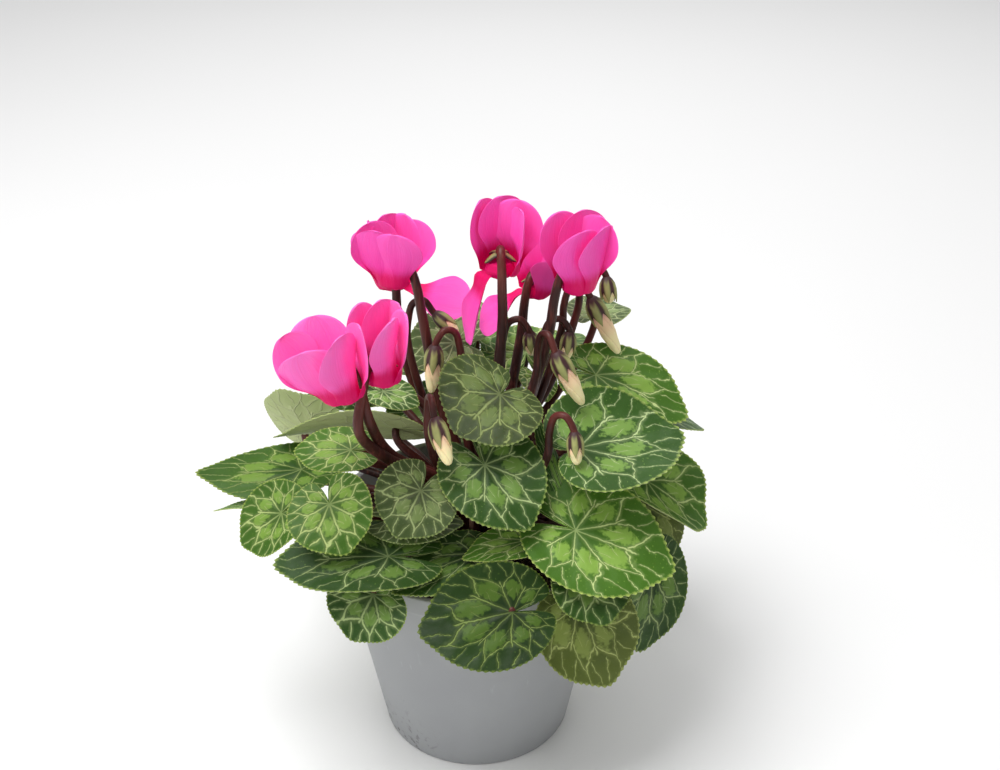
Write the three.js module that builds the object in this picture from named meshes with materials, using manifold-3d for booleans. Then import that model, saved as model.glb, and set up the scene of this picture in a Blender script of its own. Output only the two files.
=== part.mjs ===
// A small florist's cyclamen in flower, in a tapered grey plastic pot.
// Millimetres, +Z up. The origin is the centre of the pot's flat underside, and the side with most leaves
// and the front pair of flowers looks towards -Y.

import * as THREE from "three";
import { mergeVertices } from "three/addons/utils/BufferGeometryUtils.js";
import Module from "manifold-3d";

const wasm = await Module();
wasm.setup();

// Driving dimensions of the pot
const POT_HEIGHT = 90;
const POT_BASE_RADIUS = 35.5;
const POT_RIM_RADIUS = 53;
const POT_WALL = 1.3;
const POT_FLOOR = 1.8;
const RIM_BAND = 9;
const RIM_STEP = 1.1;
const DRAIN_HOLES = 6;
const DRAIN_HOLE_RADIUS = 2.6;
const DRAIN_CIRCLE_RADIUS = 25;
const POT_SIDES = 32;

// Driving dimensions of the soil and the corm
const FIT_GAP = 0.3;
const SOIL_LEVEL = 79;
const SOIL_SIDES = 16;
const CORM_RADIUS = 19;
const CORM_HALF_HEIGHT = 13;
const CORM_CENTRE_HEIGHT = 75;

// Driving dimensions of the leaves
const BLADE_THICKNESS = 0.9;
const BLADE_TEETH = 11;
const TOOTH_DEPTH = 0.045;
const BLADE_GAP = 0.6;
const PETIOLE_RADIUS = 1.35;
const PETIOLE_FOOT_RADIUS = 1.7;
const PETIOLE_STEPS = 4;
const PETIOLE_SIDES = 4;

// Driving dimensions of the flowers and buds, for a flower of size 1
const PETAL_LENGTH = 26.5;
const PETAL_HALF_WIDTH = 10;
const PETAL_THICKNESS = 0.8;
const PETAL_TWIST = 0.6;
const PETAL_BEARINGS = [62, 120, 178, 235, 292];
const PETAL_STEPS = 4;
const MOUTH_RADIUS = 4.6;
const TUBE_HEIGHT = 5.2;
const FLOWER_STALK_RADIUS = 1.45;
const FLOWER_STALK_FOOT_RADIUS = 2.3;
const FLOWER_STALK_STEPS = 9;
const BUD_STALK_STEPS = 9;
const BUD_STALK_RADIUS = 1.2;
const BUD_STALK_FOOT_RADIUS = 1.9;
const STALK_SIDES = 5;
const HOOK_OUTSET = 7.6;

const DEG = Math.PI / 180;
const UP = new THREE.Vector3(0, 0, 1);

// Finishes
const finish = (color, roughness) =>
  new THREE.MeshStandardMaterial({ color, roughness, metalness: 0 });
const potGrey = finish("#8f9297", 0.55);
const soilBrown = finish("#33261d", 0.95);
const stalkBrown = finish("#4b2a27", 0.5);
const petalPink = finish("#f04db4", 0.6);
const budCream = finish("#eadfae", 0.6);
const leafGreens = {
  deep: finish("#3c6a3c", 0.45),
  bright: finish("#6f9f3a", 0.45),
  grey: finish("#66785a", 0.5),
  olive: finish("#6c7a35", 0.45),
};

// Joining and cutting closed solids

/** A closed solid from a list of points and a list of triangles that index them. */
function solidOf(points, triangles) {
  const vertProperties = new Float32Array(points.flatMap((p) => [p.x, p.y, p.z]));
  return new wasm.Manifold(
    new wasm.Mesh({ numProp: 3, vertProperties, triVerts: new Uint32Array(triangles.flat()) }),
  );
}

/** A closed solid from a closed three.js geometry. */
function solidOfGeometry(geometry) {
  const bare = geometry.clone();
  bare.deleteAttribute("normal");
  bare.deleteAttribute("uv");
  const merged = mergeVertices(bare, 1e-4);
  return new wasm.Manifold(
    new wasm.Mesh({
      numProp: 3,
      vertProperties: merged.attributes.position.array,
      triVerts: new Uint32Array(merged.index.array),
    }),
  );
}

/** A named mesh of a solid. */
function meshOf(name, solid, material) {
  const { vertProperties, triVerts } = solid.getMesh();
  const geometry = new THREE.BufferGeometry();
  geometry.setAttribute("position", new THREE.BufferAttribute(vertProperties, 3));
  geometry.setIndex(new THREE.BufferAttribute(triVerts, 1));
  geometry.computeVertexNormals();
  const mesh = new THREE.Mesh(geometry, material);
  mesh.name = name;
  return mesh;
}

/** A solid of revolution about Z, from [radius, height] pairs that run from the axis, out and back. */
function turned(profile, sides) {
  const lathe = new THREE.LatheGeometry(
    profile.map(([r, z]) => new THREE.Vector2(r, z)),
    sides,
  );
  lathe.rotateX(Math.PI / 2);
  return solidOfGeometry(lathe);
}

/** A round tube through a list of points. radii has one radius a point. The last ring lies across
 *  lastNormal where that is given, and across the path otherwise. */
function tubeOf(points, radii, sides, lastNormal) {
  const tangents = points.map((_, i) => {
    const before = points[Math.max(i - 1, 0)];
    const after = points[Math.min(i + 1, points.length - 1)];
    return after.clone().sub(before).normalize();
  });
  let across = new THREE.Vector3(1, 0, 0);
  if (Math.abs(across.dot(tangents[0])) > 0.8) across = new THREE.Vector3(0, 1, 0);
  const ring = [];
  points.forEach((point, i) => {
    const facing = i === points.length - 1 && lastNormal ? lastNormal : tangents[i];
    across.addScaledVector(facing, -across.dot(facing)).normalize();
    const other = facing.clone().cross(across);
    for (let k = 0; k < sides; k++) {
      const angle = (2 * Math.PI * k) / sides;
      ring.push(
        point
          .clone()
          .addScaledVector(across, radii[i] * Math.cos(angle))
          .addScaledVector(other, radii[i] * Math.sin(angle)),
      );
    }
  });
  const triangles = [];
  for (let i = 0; i < points.length - 1; i++)
    for (let k = 0; k < sides; k++) {
      const a = i * sides + k;
      const b = i * sides + ((k + 1) % sides);
      triangles.push([a, b, b + sides], [a, b + sides, a + sides]);
    }
  const last = (points.length - 1) * sides;
  for (let k = 1; k < sides - 1; k++) triangles.push([0, k + 1, k], [last, last + k, last + k + 1]);
  return solidOf(ring, triangles);
}

// The pot: a tapered plastic tub with a wider band at its rim and drain holes in its floor

/** The pot's outer radius at a height, below the rim band. */
const potRadius = (z) =>
  POT_BASE_RADIUS + ((POT_RIM_RADIUS - RIM_STEP - POT_BASE_RADIUS) * z) / POT_HEIGHT;

function makePot() {
  const band = POT_HEIGHT - RIM_BAND;
  const shell = turned(
    [
      [0, 0],
      [POT_BASE_RADIUS - 0.8, 0],
      [POT_BASE_RADIUS, 0.9],
      [potRadius(band), band],
      [potRadius(band) + RIM_STEP, band + 0.8],
      [POT_RIM_RADIUS, POT_HEIGHT - 0.8],
      [POT_RIM_RADIUS - 0.8, POT_HEIGHT],
      [POT_RIM_RADIUS - RIM_STEP - POT_WALL, POT_HEIGHT],
      [POT_BASE_RADIUS - POT_WALL, POT_FLOOR],
      [0, POT_FLOOR],
    ],
    POT_SIDES,
  );
  const holes = Array.from({ length: DRAIN_HOLES }, (_, i) => {
    const angle = (2 * Math.PI * i) / DRAIN_HOLES;
    const hole = new THREE.CylinderGeometry(DRAIN_HOLE_RADIUS, DRAIN_HOLE_RADIUS, 4 * POT_FLOOR, 6);
    hole.rotateX(Math.PI / 2);
    hole.translate(DRAIN_CIRCLE_RADIUS * Math.cos(angle), DRAIN_CIRCLE_RADIUS * Math.sin(angle), 0);
    return solidOfGeometry(hole);
  });
  return shell.subtract(wasm.Manifold.union(holes));
}

// The soil: a plug of compost with a crumbly top, and a plain hole that the corm sits in

/** An ellipsoid of the corm's shape, grown all round by a clearance. */
function cormShape(clearance) {
  const ball = new THREE.SphereGeometry(1, 12, 6);
  ball.rotateX(Math.PI / 2);
  ball.scale(CORM_RADIUS + clearance, CORM_RADIUS + clearance, CORM_HALF_HEIGHT + clearance);
  ball.translate(0, 0, CORM_CENTRE_HEIGHT);
  return solidOfGeometry(ball);
}

function makeSoil() {
  const wallGap = POT_WALL + FIT_GAP;
  const foot = POT_FLOOR + FIT_GAP;
  const innerRadius = (z) =>
    POT_BASE_RADIUS + ((POT_RIM_RADIUS - RIM_STEP - POT_BASE_RADIUS) * (z - POT_FLOOR)) /
      (POT_HEIGHT - POT_FLOOR) - wallGap;
  const around = (radius, angle, z) =>
    new THREE.Vector3(radius * Math.cos(angle), radius * Math.sin(angle), z);
  const rim = SOIL_LEVEL - 1;
  const rings = [0.36, 0.6, 0.82, 1];
  const points = [new THREE.Vector3(0, 0, SOIL_LEVEL)];
  rings.forEach((share, j) => {
    for (let k = 0; k < SOIL_SIDES; k++) {
      const angle = (2 * Math.PI * k) / SOIL_SIDES;
      const crumbs = 0.9 * Math.sin(5 * angle + 2.1 * j) + 0.7 * Math.cos(11 * angle + j);
      points.push(around(share * innerRadius(rim), angle, share < 1 ? rim + crumbs : rim));
    }
  });
  for (let k = 0; k < SOIL_SIDES; k++) {
    const angle = (2 * Math.PI * k) / SOIL_SIDES;
    points.push(around(innerRadius(foot), angle, foot));
  }
  points.push(new THREE.Vector3(0, 0, foot));
  const triangles = [];
  for (let k = 0; k < SOIL_SIDES; k++) {
    const next = (k + 1) % SOIL_SIDES;
    triangles.push([0, 1 + k, 1 + next]);
    for (let j = 0; j < rings.length; j++) {
      const a = 1 + j * SOIL_SIDES;
      const b = a + SOIL_SIDES;
      triangles.push([a + k, b + k, b + next], [a + k, b + next, a + next]);
    }
    const foot0 = 1 + rings.length * SOIL_SIDES;
    triangles.push([foot0 + k, points.length - 1, foot0 + next]);
  }
  return solidOf(points, triangles).subtract(cormShape(FIT_GAP));
}

// The leaves

/** A leaf: where its stalk meets the blade, where the blade's tip is and which way its upper face looks.
 *  shape may also say how many degrees its sides are cupped up and its tip is curled down, how wide it is
 *  for its length, how far its rear lobes reach, how steeply its stalk leaves the corm (rise) and how many
 *  millimetres higher the stalk comes over (lift). */
const leaf = (tone, hub, tip, face, shape) => ({
  tone,
  hub,
  tip,
  face,
  cup: 14,
  curl: 14,
  wide: 0.9,
  back: 0.7,
  rise: 0.7,
  lift: 0,
  ...shape,
});

// The front comes first, from the right to the left, then the top and the back.
const leaves = [
  leaf("deep", [35, -28, 136], [72, -14, 134], [0.15, -0.33, 1], { cup: 24, wide: 0.78, back: 0.25 }),
  leaf("bright", [43, 14, 140], [77, 8, 127], [0.3, -0.25, 1], { cup: 10, wide: 0.72, back: 0.5 }),
  leaf("deep", [4, -32, 132], [19, -49, 118], [0.1, -0.7, 0.9], { wide: 0.85, back: 0.8 }),
  leaf("bright", [34, -41, 112], [67, -48, 100], [0.2, -0.6, 0.9], { wide: 0.75, back: 0.75 }),
  leaf("bright", [60, -13, 113], [83, -13, 94], [0.45, -0.5, 0.75], { cup: 100, curl: 10, wide: 0.75 }),
  leaf("olive", [61, -10, 100], [72, -14, 77], [0.7, -0.65, 0.4], { cup: 20, wide: 0.7, back: 0.3 }),
  leaf("deep", [62, -30, 87], [59, -39, 57], [0.6, -0.75, 0.2], { wide: 0.7, back: 0.6, lift: 17 }),
  leaf("olive", [35, -50, 88], [47, -57, 58], [0.15, -0.9, 0.3], {
    curl: 10, wide: 0.74, back: 0.3, lift: 18,
  }),
  leaf("deep", [38, -49, 101], [44, -61, 88], [0.15, -0.8, 0.6], { wide: 1, back: 0.6, lift: 10 }),
  leaf("deep", [13, -60, 93], [-18, -63, 87], [-0.1, -0.8, 0.7], {
    cup: 24, wide: 0.75, back: 0.65, lift: 12,
  }),
  leaf("bright", [18, -40, 107], [-4, -44, 103], [-0.05, -0.2, 1], { cup: 30, wide: 0.5, back: 0.2 }),
  leaf("deep", [-28, -46, 105], [-67, -45, 101], [-0.05, -0.4, 1], { wide: 0.48, back: 0.7 }),
  leaf("deep", [0, -39, 101], [-27, -53, 95], [-0.1, -0.5, 1], { wide: 0.48, back: 0.3 }),
  leaf("deep", [-33, -51, 93], [-41, -59, 80], [-0.3, -0.9, 0.35], { wide: 1.15, back: 0.4, lift: 8 }),
  leaf("bright", [-47, -40, 122], [-41, -52, 110], [-0.2, -0.75, 0.65], {
    cup: 20, wide: 1.1, back: 0.8, rise: 0.9,
  }),
  leaf("bright", [-41, -23, 132], [-61, -19, 129], [-0.1, -0.4, 1], { cup: 10, wide: 0.62 }),
  leaf("grey", [-17, -38, 126], [-25, -48, 114], [0, -0.8, 0.7], { cup: 20, wide: 1.05, back: 0.8 }),
  leaf("grey", [-22, -36, 113], [-3, -37, 112], [0, -0.35, 1], { cup: 10, wide: 0.65, back: 1.1, lift: 4 }),
  leaf("bright", [-28, 4, 124], [-73, 10, 117], [0.1, 0.75, 0.65], { cup: 20, wide: 0.42, back: 0.3 }),
  leaf("grey", [-64, 30, 107], [-72, 28, 127], [0.3, 0.8, 0.3], { cup: 20, curl: -12, wide: 1.1 }),
  leaf("bright", [-70, -8, 98], [-93, -10, 99], [0, 0.35, 0.95], { wide: 0.45, back: 0.6, lift: 10 }),
  leaf("bright", [-62, 0, 109], [-101, 3, 105], [-0.2, -0.35, 1], { curl: -10, wide: 0.42, back: 0.6 }),
  leaf("bright", [-66, -24, 107], [-81, -25, 94], [-0.5, -0.6, 0.6], { cup: 30, wide: 0.85, back: 0.8 }),
  leaf("grey", [9, -20, 152], [-6, -32, 144], [-0.1, -0.6, 1], { cup: 18, wide: 1.3, back: 0.6 }),
  leaf("grey", [-8, 38, 140], [-28, 42, 137], [0, -0.45, 1], { wide: 1, back: 0.9 }),
  leaf("deep", [0, 52, 137], [-3, 73, 141], [0, -0.25, 1], { cup: 10, curl: 18, wide: 0.8 }),
  leaf("grey", [44, 36, 153], [50, 52, 151], [0, -0.1, 1], { rise: 0.3 }),
  leaf("bright", [27, 43, 137], [40, 64, 129], [0.2, 0.4, 1], { wide: 0.6, back: 0.6 }),
  leaf("deep", [-34, 32, 132], [-54, 54, 122], [-0.2, 0.4, 1], { wide: 0.8 }),
  leaf("deep", [-46, 42, 116], [-72, 58, 104], [-0.4, 0.2, 1], { wide: 0.65 }),
  leaf("deep", [60, 26, 122], [86, 34, 106], [0.6, 0.2, 0.8], { wide: 0.8 }),
  leaf("bright", [44, 48, 116], [62, 68, 98], [0.5, 0.5, 0.7]),
  leaf("deep", [10, 60, 112], [14, 84, 94], [0.1, 0.7, 0.7]),
  leaf("bright", [-28, 56, 108], [-38, 78, 90], [-0.3, 0.7, 0.7]),
  leaf("deep", [-62, 50, 94], [-80, 62, 76], [-0.6, 0.4, 0.6], { wide: 0.65, lift: 14 }),
  leaf("deep", [62, 18, 96], [76, 24, 68], [0.9, 0.1, 0.4], { wide: 0.8 }),
  leaf("olive", [28, 58, 92], [38, 76, 66], [0.4, 0.8, 0.4], { lift: 12 }),
  leaf("deep", [-32, 4, 139], [-19, 0, 136], [0, -0.3, 1], { wide: 0.7, rise: 1.2, lift: 10 }),
  leaf("bright", [22, 27, 132], [26, 17, 127], [0.3, -0.5, 0.8], { cup: 24, wide: 0.8 }),
  leaf("deep", [-11, 30, 117], [-34, 35, 113], [0, -0.45, 1], { wide: 0.75, back: 0.3 }),
  leaf("grey", [4, 36, 108], [-16, 42, 102], [0, -0.4, 1], {}),
];
const OUTLINE_FULLNESS = 0.8;

/** How far the blade reaches from its stalk, as a share of hub to tip: a heart with a pointed tip at
 *  angle 0, rear lobes and a narrow notch at angle 180. */
function outline(leaf, angle) {
  const turn = Math.abs(Math.atan2(Math.sin(angle), Math.cos(angle))) / DEG;
  const heart = OUTLINE_FULLNESS + 0.1 * Math.cos(angle) + 0.1 * Math.exp(-((turn / 13) ** 2));
  const rear = 1 + (leaf.back - 1) * ((1 - Math.cos(angle)) / 2) ** 2;
  return heart * rear * (1 - 0.88 * Math.exp(-(((180 - turn) / 12) ** 2)));
}

/** The blade's own axes: along its midrib, across it and up out of its face, at the stalk. */
function bladeFrame(leaf) {
  const hub = new THREE.Vector3(...leaf.hub);
  const chord = new THREE.Vector3(...leaf.tip).sub(hub);
  const halfCurl = (leaf.curl * DEG) / 2;
  const length = (chord.length() * halfCurl) / Math.sin(halfCurl);
  const along = chord.normalize();
  const across = new THREE.Vector3(...leaf.face).cross(along).normalize();
  along.applyAxisAngle(across, -halfCurl);
  const normal = along.clone().cross(across);
  return { hub, along, across, normal, length };
}

/** A point of the blade's middle surface. share runs from 0 at the stalk to 1 at the outline; the
 *  flat heart is first bent across its midrib by cup, then along it by curl, with a wave at its rim. */
function bladePoint(leaf, frame, share, angle, reach) {
  const { length } = frame;
  const radius = share * outline(leaf, angle) * length * reach;
  const p = radius * Math.cos(angle);
  const q = radius * Math.sin(angle) * leaf.wide;
  const wave = ((0.045 * radius * radius) / length) * Math.sin(3 * angle + leaf.hub[0]);
  const crossBend = (leaf.cup * DEG) / (OUTLINE_FULLNESS * length);
  const longBend = (leaf.curl * DEG) / length;
  const y = Math.sin(crossBend * q) / crossBend - wave * Math.sin(crossBend * q);
  const z = (1 - Math.cos(crossBend * q)) / crossBend + wave * Math.cos(crossBend * q);
  const x = Math.sin(longBend * p) / longBend + z * Math.sin(longBend * p);
  const h = (Math.cos(longBend * p) - 1) / longBend + z * Math.cos(longBend * p);
  return frame.hub
    .clone()
    .addScaledVector(frame.along, x)
    .addScaledVector(frame.across, y)
    .addScaledVector(frame.normal, h);
}

/** The blade's surface normal, from two small steps on its middle surface. */
function bladeNormal(leaf, frame, share, angle, reach) {
  const at = (s, a) => bladePoint(leaf, frame, s, a, reach);
  const inner = Math.max(share, 0.05);
  const outward = at(inner + 0.02, angle).sub(at(inner - 0.02, angle));
  const around = at(inner, angle + 0.02).sub(at(inner, angle - 0.02));
  return outward.cross(around).normalize();
}

/** A blade: a hub point, an inner ring and a toothed rim, the same on both faces. The teeth are an odd
 *  number, turned so that one is the tip and the notch has a point of each ring. */
function makeBlade(leaf) {
  const frame = bladeFrame(leaf);
  const teeth = BLADE_TEETH;
  const halfTooth = Math.PI / teeth;
  const places = [{ share: 0, angle: 0, reach: 1 }];
  for (let k = 0; k < teeth; k++) places.push({ share: 0.55, angle: halfTooth * (2 * k + 1), reach: 1 });
  for (let k = 0; k < 2 * teeth; k++)
    places.push({ share: 1, angle: halfTooth * (k + 1), reach: k % 2 ? 1 : 1 - TOOTH_DEPTH });
  const faces = [];
  for (let k = 0; k < teeth; k++) {
    const next = (k + 1) % teeth;
    const [in0, in1] = [1 + k, 1 + next];
    const rim = 1 + teeth;
    const [out0, out1, out2] = [rim + 2 * k, rim + 2 * k + 1, rim + 2 * next];
    faces.push([0, in0, in1], [in0, out0, out1], [in0, out1, in1], [in1, out1, out2]);
  }
  const points = [];
  for (const side of [0.5, -0.5])
    for (const { share, angle, reach } of places) {
      const normal = share ? bladeNormal(leaf, frame, share, angle, reach) : frame.normal;
      points.push(
        bladePoint(leaf, frame, share, angle, reach).addScaledVector(normal, side * BLADE_THICKNESS),
      );
    }
  const under = places.length;
  const triangles = [...faces, ...faces.map(([a, b, c]) => [a + under, c + under, b + under])];
  for (let k = 0; k < 2 * teeth; k++) {
    const a = 1 + teeth + k;
    const b = 1 + teeth + ((k + 1) % (2 * teeth));
    triangles.push([a, a + under, b + under], [a, b + under, b]);
  }
  return solidOf(points, triangles);
}

// The stalks. Leaf stalks leave the corm's shoulder and flower stalks its middle.

/** A point on the corm's top at a distance and bearing from the axis, sunk a little below the skin. */
function cormPoint(distance, bearing) {
  const height = CORM_HALF_HEIGHT * Math.sqrt(1 - (distance / CORM_RADIUS) ** 2);
  return new THREE.Vector3(
    distance * Math.cos(bearing),
    distance * Math.sin(bearing),
    CORM_CENTRE_HEIGHT + height - 3,
  );
}

/** The centreline of a leaf's stalk: a cubic curve that rises from the corm, bends outward and meets the
 *  blade squarely from below. */
function petioleCurve(leaf) {
  const frame = bladeFrame(leaf);
  const end = frame.hub.clone().addScaledVector(frame.normal, -(BLADE_THICKNESS / 2 + BLADE_GAP));
  const climb = end.z - CORM_CENTRE_HEIGHT;
  const foot = cormPoint(THREE.MathUtils.clamp(15 - climb / 9, 7, 14), Math.atan2(end.y, end.x));
  const rise = foot.clone().addScaledVector(UP, leaf.rise * (end.z - foot.z) + 4);
  const under = end.clone().addScaledVector(frame.normal, -0.25 * end.distanceTo(foot));
  under.z += leaf.lift;
  return new THREE.CubicBezierCurve3(foot, rise, under, end);
}

function makePetiole(leaf) {
  const points = petioleCurve(leaf).getPoints(PETIOLE_STEPS);
  const radii = points.map((_, i) =>
    THREE.MathUtils.lerp(PETIOLE_FOOT_RADIUS, PETIOLE_RADIUS, i / PETIOLE_STEPS),
  );
  return tubeOf(points, radii, PETIOLE_SIDES, bladeFrame(leaf).normal);
}

// The flowers

/** A flower: the middle of its downward mouth, the way it leans over, the bearing of the gap between two
 *  petals that its stalk comes through, and each petal's angle above level, in turn round the flower. more
 *  may hold its size and a point that the stalk passes on its way up (via). */
const flower = (mouth, lean, gap, raise, more) => ({ mouth, lean, gap, raise, size: 1, ...more });

// The back pair on the left, the front pair on the left, the middle pair and the right one
const flowers = [
  flower([-26, 6, 180], [-0.05, -0.05], -10, [84, 86, 86, 86, 82], { size: 0.9 }),
  flower([-29, 34, 165], [0, 0.05], -80, [-10, 80, 82, 64, 82], { size: 0.95 }),
  flower([-39, -46, 166], [-0.14, 0], 60, [75, 66, 60, 84, 82], { via: [-27, -22, 129] }),
  flower([-29, -34, 165], [0.08, 0.05], -130, [85, 89, 89, 88, 84], { via: [-28, -27, 131] }),
  flower([9, 6, 184], [0, -0.1], -85, [86, 86, 88, 86, -75]),
  flower([21, 30, 164], [0.05, 0], -120, [62, 70, 88, 84, -50], { size: 0.85 }),
  flower([34, 0, 181], [0.05, -0.05], -150, [86, 85, 86, 85, 82]),
];

/** A bud: where its calyx starts, the way its tip points, the side that its stalk comes up on and the
 *  length of its furled petals. */
const bud = (neck, aim, crook, length, size) => ({ neck, aim, crook, length, size });

const buds = [
  bud([-14, 14, 165], [0.9, -0.3, -0.7], [-1, 0.1], 4, 0.85),
  bud([-13, 0, 160], [-0.1, -0.1, -1], [0.9, 0.4], 10, 1),
  bud([-12, -36, 153], [0.35, -0.55, -1], [-0.3, 1], 8, 1),
  bud([40, 12, 172], [0.5, -0.1, -1], [-1, 0], 15, 1.05),
  bud([27, -16, 166], [0.5, -0.1, -1], [-0.6, 0.8], 13, 1.05),
  bud([33, 8, 161], [-0.1, -0.1, -1], [-1, 0], 4, 0.85),
  bud([46, 22, 175], [0.15, -0.4, -1], [-1, 0], 2, 0.9),
  bud([33, -34, 146.5], [0.1, -0.3, -1], [-0.85, 0.5], 4.5, 0.85),
  bud([19, 2, 164], [0.1, 0.2, -1], [-1, 0], 4, 0.8),
];

/** A flower's own axes: up its middle, towards the gap for its stalk, and across that. */
function flowerFrame(flower) {
  const up = new THREE.Vector3(flower.lean[0], flower.lean[1], 1).normalize();
  const bearing = flower.gap * DEG;
  const out = new THREE.Vector3(Math.cos(bearing), Math.sin(bearing), 0);
  out.addScaledVector(up, -out.dot(up)).normalize();
  return { mouth: new THREE.Vector3(...flower.mouth), up, out, side: up.clone().cross(out) };
}

/** A point of the flower's frame at a bearing from the gap, a distance from the middle and a height. */
function flowerPoint(flower, frame, bearing, distance, height) {
  return frame.mouth
    .clone()
    .addScaledVector(frame.out, flower.size * distance * Math.cos(bearing))
    .addScaledVector(frame.side, flower.size * distance * Math.sin(bearing))
    .addScaledVector(frame.up, flower.size * height);
}

/** A petal's midline as distances and heights: it leaves the mouth outward and down, then turns
 *  sharply to its raised angle and keeps a slight outward bow. */
function petalMidline(raise, steps) {
  const line = [[MOUTH_RADIUS - 0.6, 0.9]];
  const step = PETAL_LENGTH / steps;
  const fine = 8;
  let [distance, height] = line[0];
  for (let i = 0; i < steps * fine; i++) {
    const share = (i + 0.5) / (steps * fine);
    const turn = THREE.MathUtils.smoothstep(share, 0, 0.15);
    const angle = (-25 + (raise + 25) * turn + 6 * Math.max(share - 0.4, 0)) * DEG;
    distance += (step / fine) * Math.cos(angle);
    height += (step / fine) * Math.sin(angle);
    if ((i + 1) % fine === 0) line.push([distance, height]);
  }
  return line;
}

/** Half the petal's width at a share of its length: it widens at once to close the ring at the mouth, then
 *  again to its broad round top. */
function petalHalfWidth(share) {
  const ring = 2.6 + 1.2 * THREE.MathUtils.smoothstep(share, 0, 0.12);
  const broad = ring + (PETAL_HALF_WIDTH - ring) * THREE.MathUtils.smoothstep(share, 0.2, 0.68);
  return broad * Math.sqrt(Math.max(1 - Math.max((share - 0.62) / 0.39, 0) ** 2.4, 0.02));
}

/** One petal: a strip along its midline, twisted about it, two quads wide, with its edges wrapped inward
 *  as on a cylinder that is tight at the mouth and wide at the top. */
function makePetal(flower, frame, index) {
  const steps = PETAL_STEPS;
  const bearing = PETAL_BEARINGS[index] * DEG;
  const line = petalMidline(flower.raise[index], steps);
  const radial = frame.out.clone().applyAxisAngle(frame.up, bearing);
  const sideways = frame.side.clone().applyAxisAngle(frame.up, bearing);
  const points = [];
  for (const face of [0.5, -0.5])
    line.forEach(([distance, height], i) => {
      const share = i / steps;
      const [d0, h0] = line[Math.max(i - 1, 0)];
      const [d1, h1] = line[Math.min(i + 1, steps)];
      const slope = Math.atan2(h1 - h0, d1 - d0);
      const tangent = radial
        .clone()
        .multiplyScalar(Math.cos(slope))
        .addScaledVector(frame.up, Math.sin(slope));
      const twist = PETAL_TWIST * THREE.MathUtils.smoothstep(share, 0.05, 0.5);
      const across = sideways.clone().applyAxisAngle(tangent, twist);
      const normal = tangent.clone().cross(across);
      const middle = flowerPoint(flower, frame, bearing, distance, height);
      const half = flower.size * petalHalfWidth(share);
      const wrap = half ** 2 / (13 + 44 * THREE.MathUtils.smoothstep(share, 0.1, 0.9));
      for (const w of [-1, 0, 1])
        points.push(
          middle
            .clone()
            .addScaledVector(across, w * half)
            .addScaledVector(normal, w * w * wrap + face * PETAL_THICKNESS),
        );
    });
  const under = 3 * (steps + 1);
  const faces = [];
  for (let i = 0; i < steps; i++)
    for (const w of [0, 1]) {
      const a = 3 * i + w;
      faces.push([a, a + 4, a + 1], [a, a + 3, a + 4]);
    }
  const triangles = [...faces.map(([a, b, c]) => [a, c, b]), ...faces.map((f) => f.map((v) => v + under))];
  const rim = [0, 1, 2];
  for (let i = 1; i <= steps; i++) rim.push(3 * i + 2);
  rim.push(3 * steps + 1);
  for (let i = steps; i > 0; i--) rim.push(3 * i);
  rim.forEach((a, i) => {
    const b = rim[(i + 1) % rim.length];
    triangles.push([a, b + under, b], [a, a + under, b + under]);
  });
  return solidOf(points, triangles.map(([a, b, c]) => [a, c, b]));
}

/** The short pink cup at the flower's middle, with its mouth downward. */
function makeTube(flower, frame) {
  const cup = turned(
    [
      [0, 3],
      [2.6, 0.2],
      [MOUTH_RADIUS, 0],
      [5, 2.4],
      [0, TUBE_HEIGHT],
    ],
    5,
  );
  const place = new THREE.Matrix4().makeBasis(frame.out, frame.side, frame.up);
  place.scale(new THREE.Vector3(flower.size, flower.size, flower.size)).setPosition(frame.mouth);
  return cup.transform(place.elements);
}

function makeCorolla(flower) {
  const frame = flowerFrame(flower);
  const petals = flower.raise.map((_, index) => makePetal(flower, frame, index));
  return wasm.Manifold.union([makeTube(flower, frame), ...petals]);
}

/** The flower's five sepals, as a thin star over the cup. */
function makeCalyx(flower, frame) {
  const ring = (radii, heights) =>
    Array.from({ length: 10 }, (_, i) =>
      flowerPoint(flower, frame, (i * Math.PI) / 5, radii[i % 2], heights[i % 2]),
    );
  const at = (height) => flowerPoint(flower, frame, 0, 0, height);
  const points = [
    at(8.4),
    ...ring([5, 3], [5, 7.3]),
    ...ring([4.7, 2.7], [4.4, 6.1]),
    at(TUBE_HEIGHT + 0.9),
  ];
  const triangles = [];
  for (let i = 0; i < 10; i++) {
    const next = (i + 1) % 10;
    triangles.push([0, 1 + i, 1 + next], [1 + i, 11 + i, 11 + next], [1 + i, 11 + next, 1 + next]);
    triangles.push([21, 11 + next, 11 + i]);
  }
  return solidOf(points, triangles);
}

/** A flower's stalk: from the corm's middle up to the gap between two petals, then over in a crook
 *  and down on to the calyx. */
function flowerStalkPoints(flower, frame) {
  const reach = (distance, height) => flowerPoint(flower, frame, 0, distance, height);
  const low = reach(HOOK_OUTSET + 1.4, -14);
  const foot = cormPoint(Math.min(9, Math.hypot(low.x, low.y) / 5), Math.atan2(low.y, low.x));
  const rise = foot.clone().addScaledVector(UP, 26);
  rise.x += 0.12 * (low.x - foot.x);
  rise.y += 0.12 * (low.y - foot.y);
  return [
    foot,
    rise,
    flower.via ? new THREE.Vector3(...flower.via) : foot.clone().lerp(low, 0.62),
    low,
    reach(HOOK_OUTSET + 0.4, -2),
    reach(6.6, 5),
    reach(4.6, 9),
    reach(2.6, 10.4),
    reach(0.6, 9.2),
    reach(0, 7.6),
  ];
}

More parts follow.
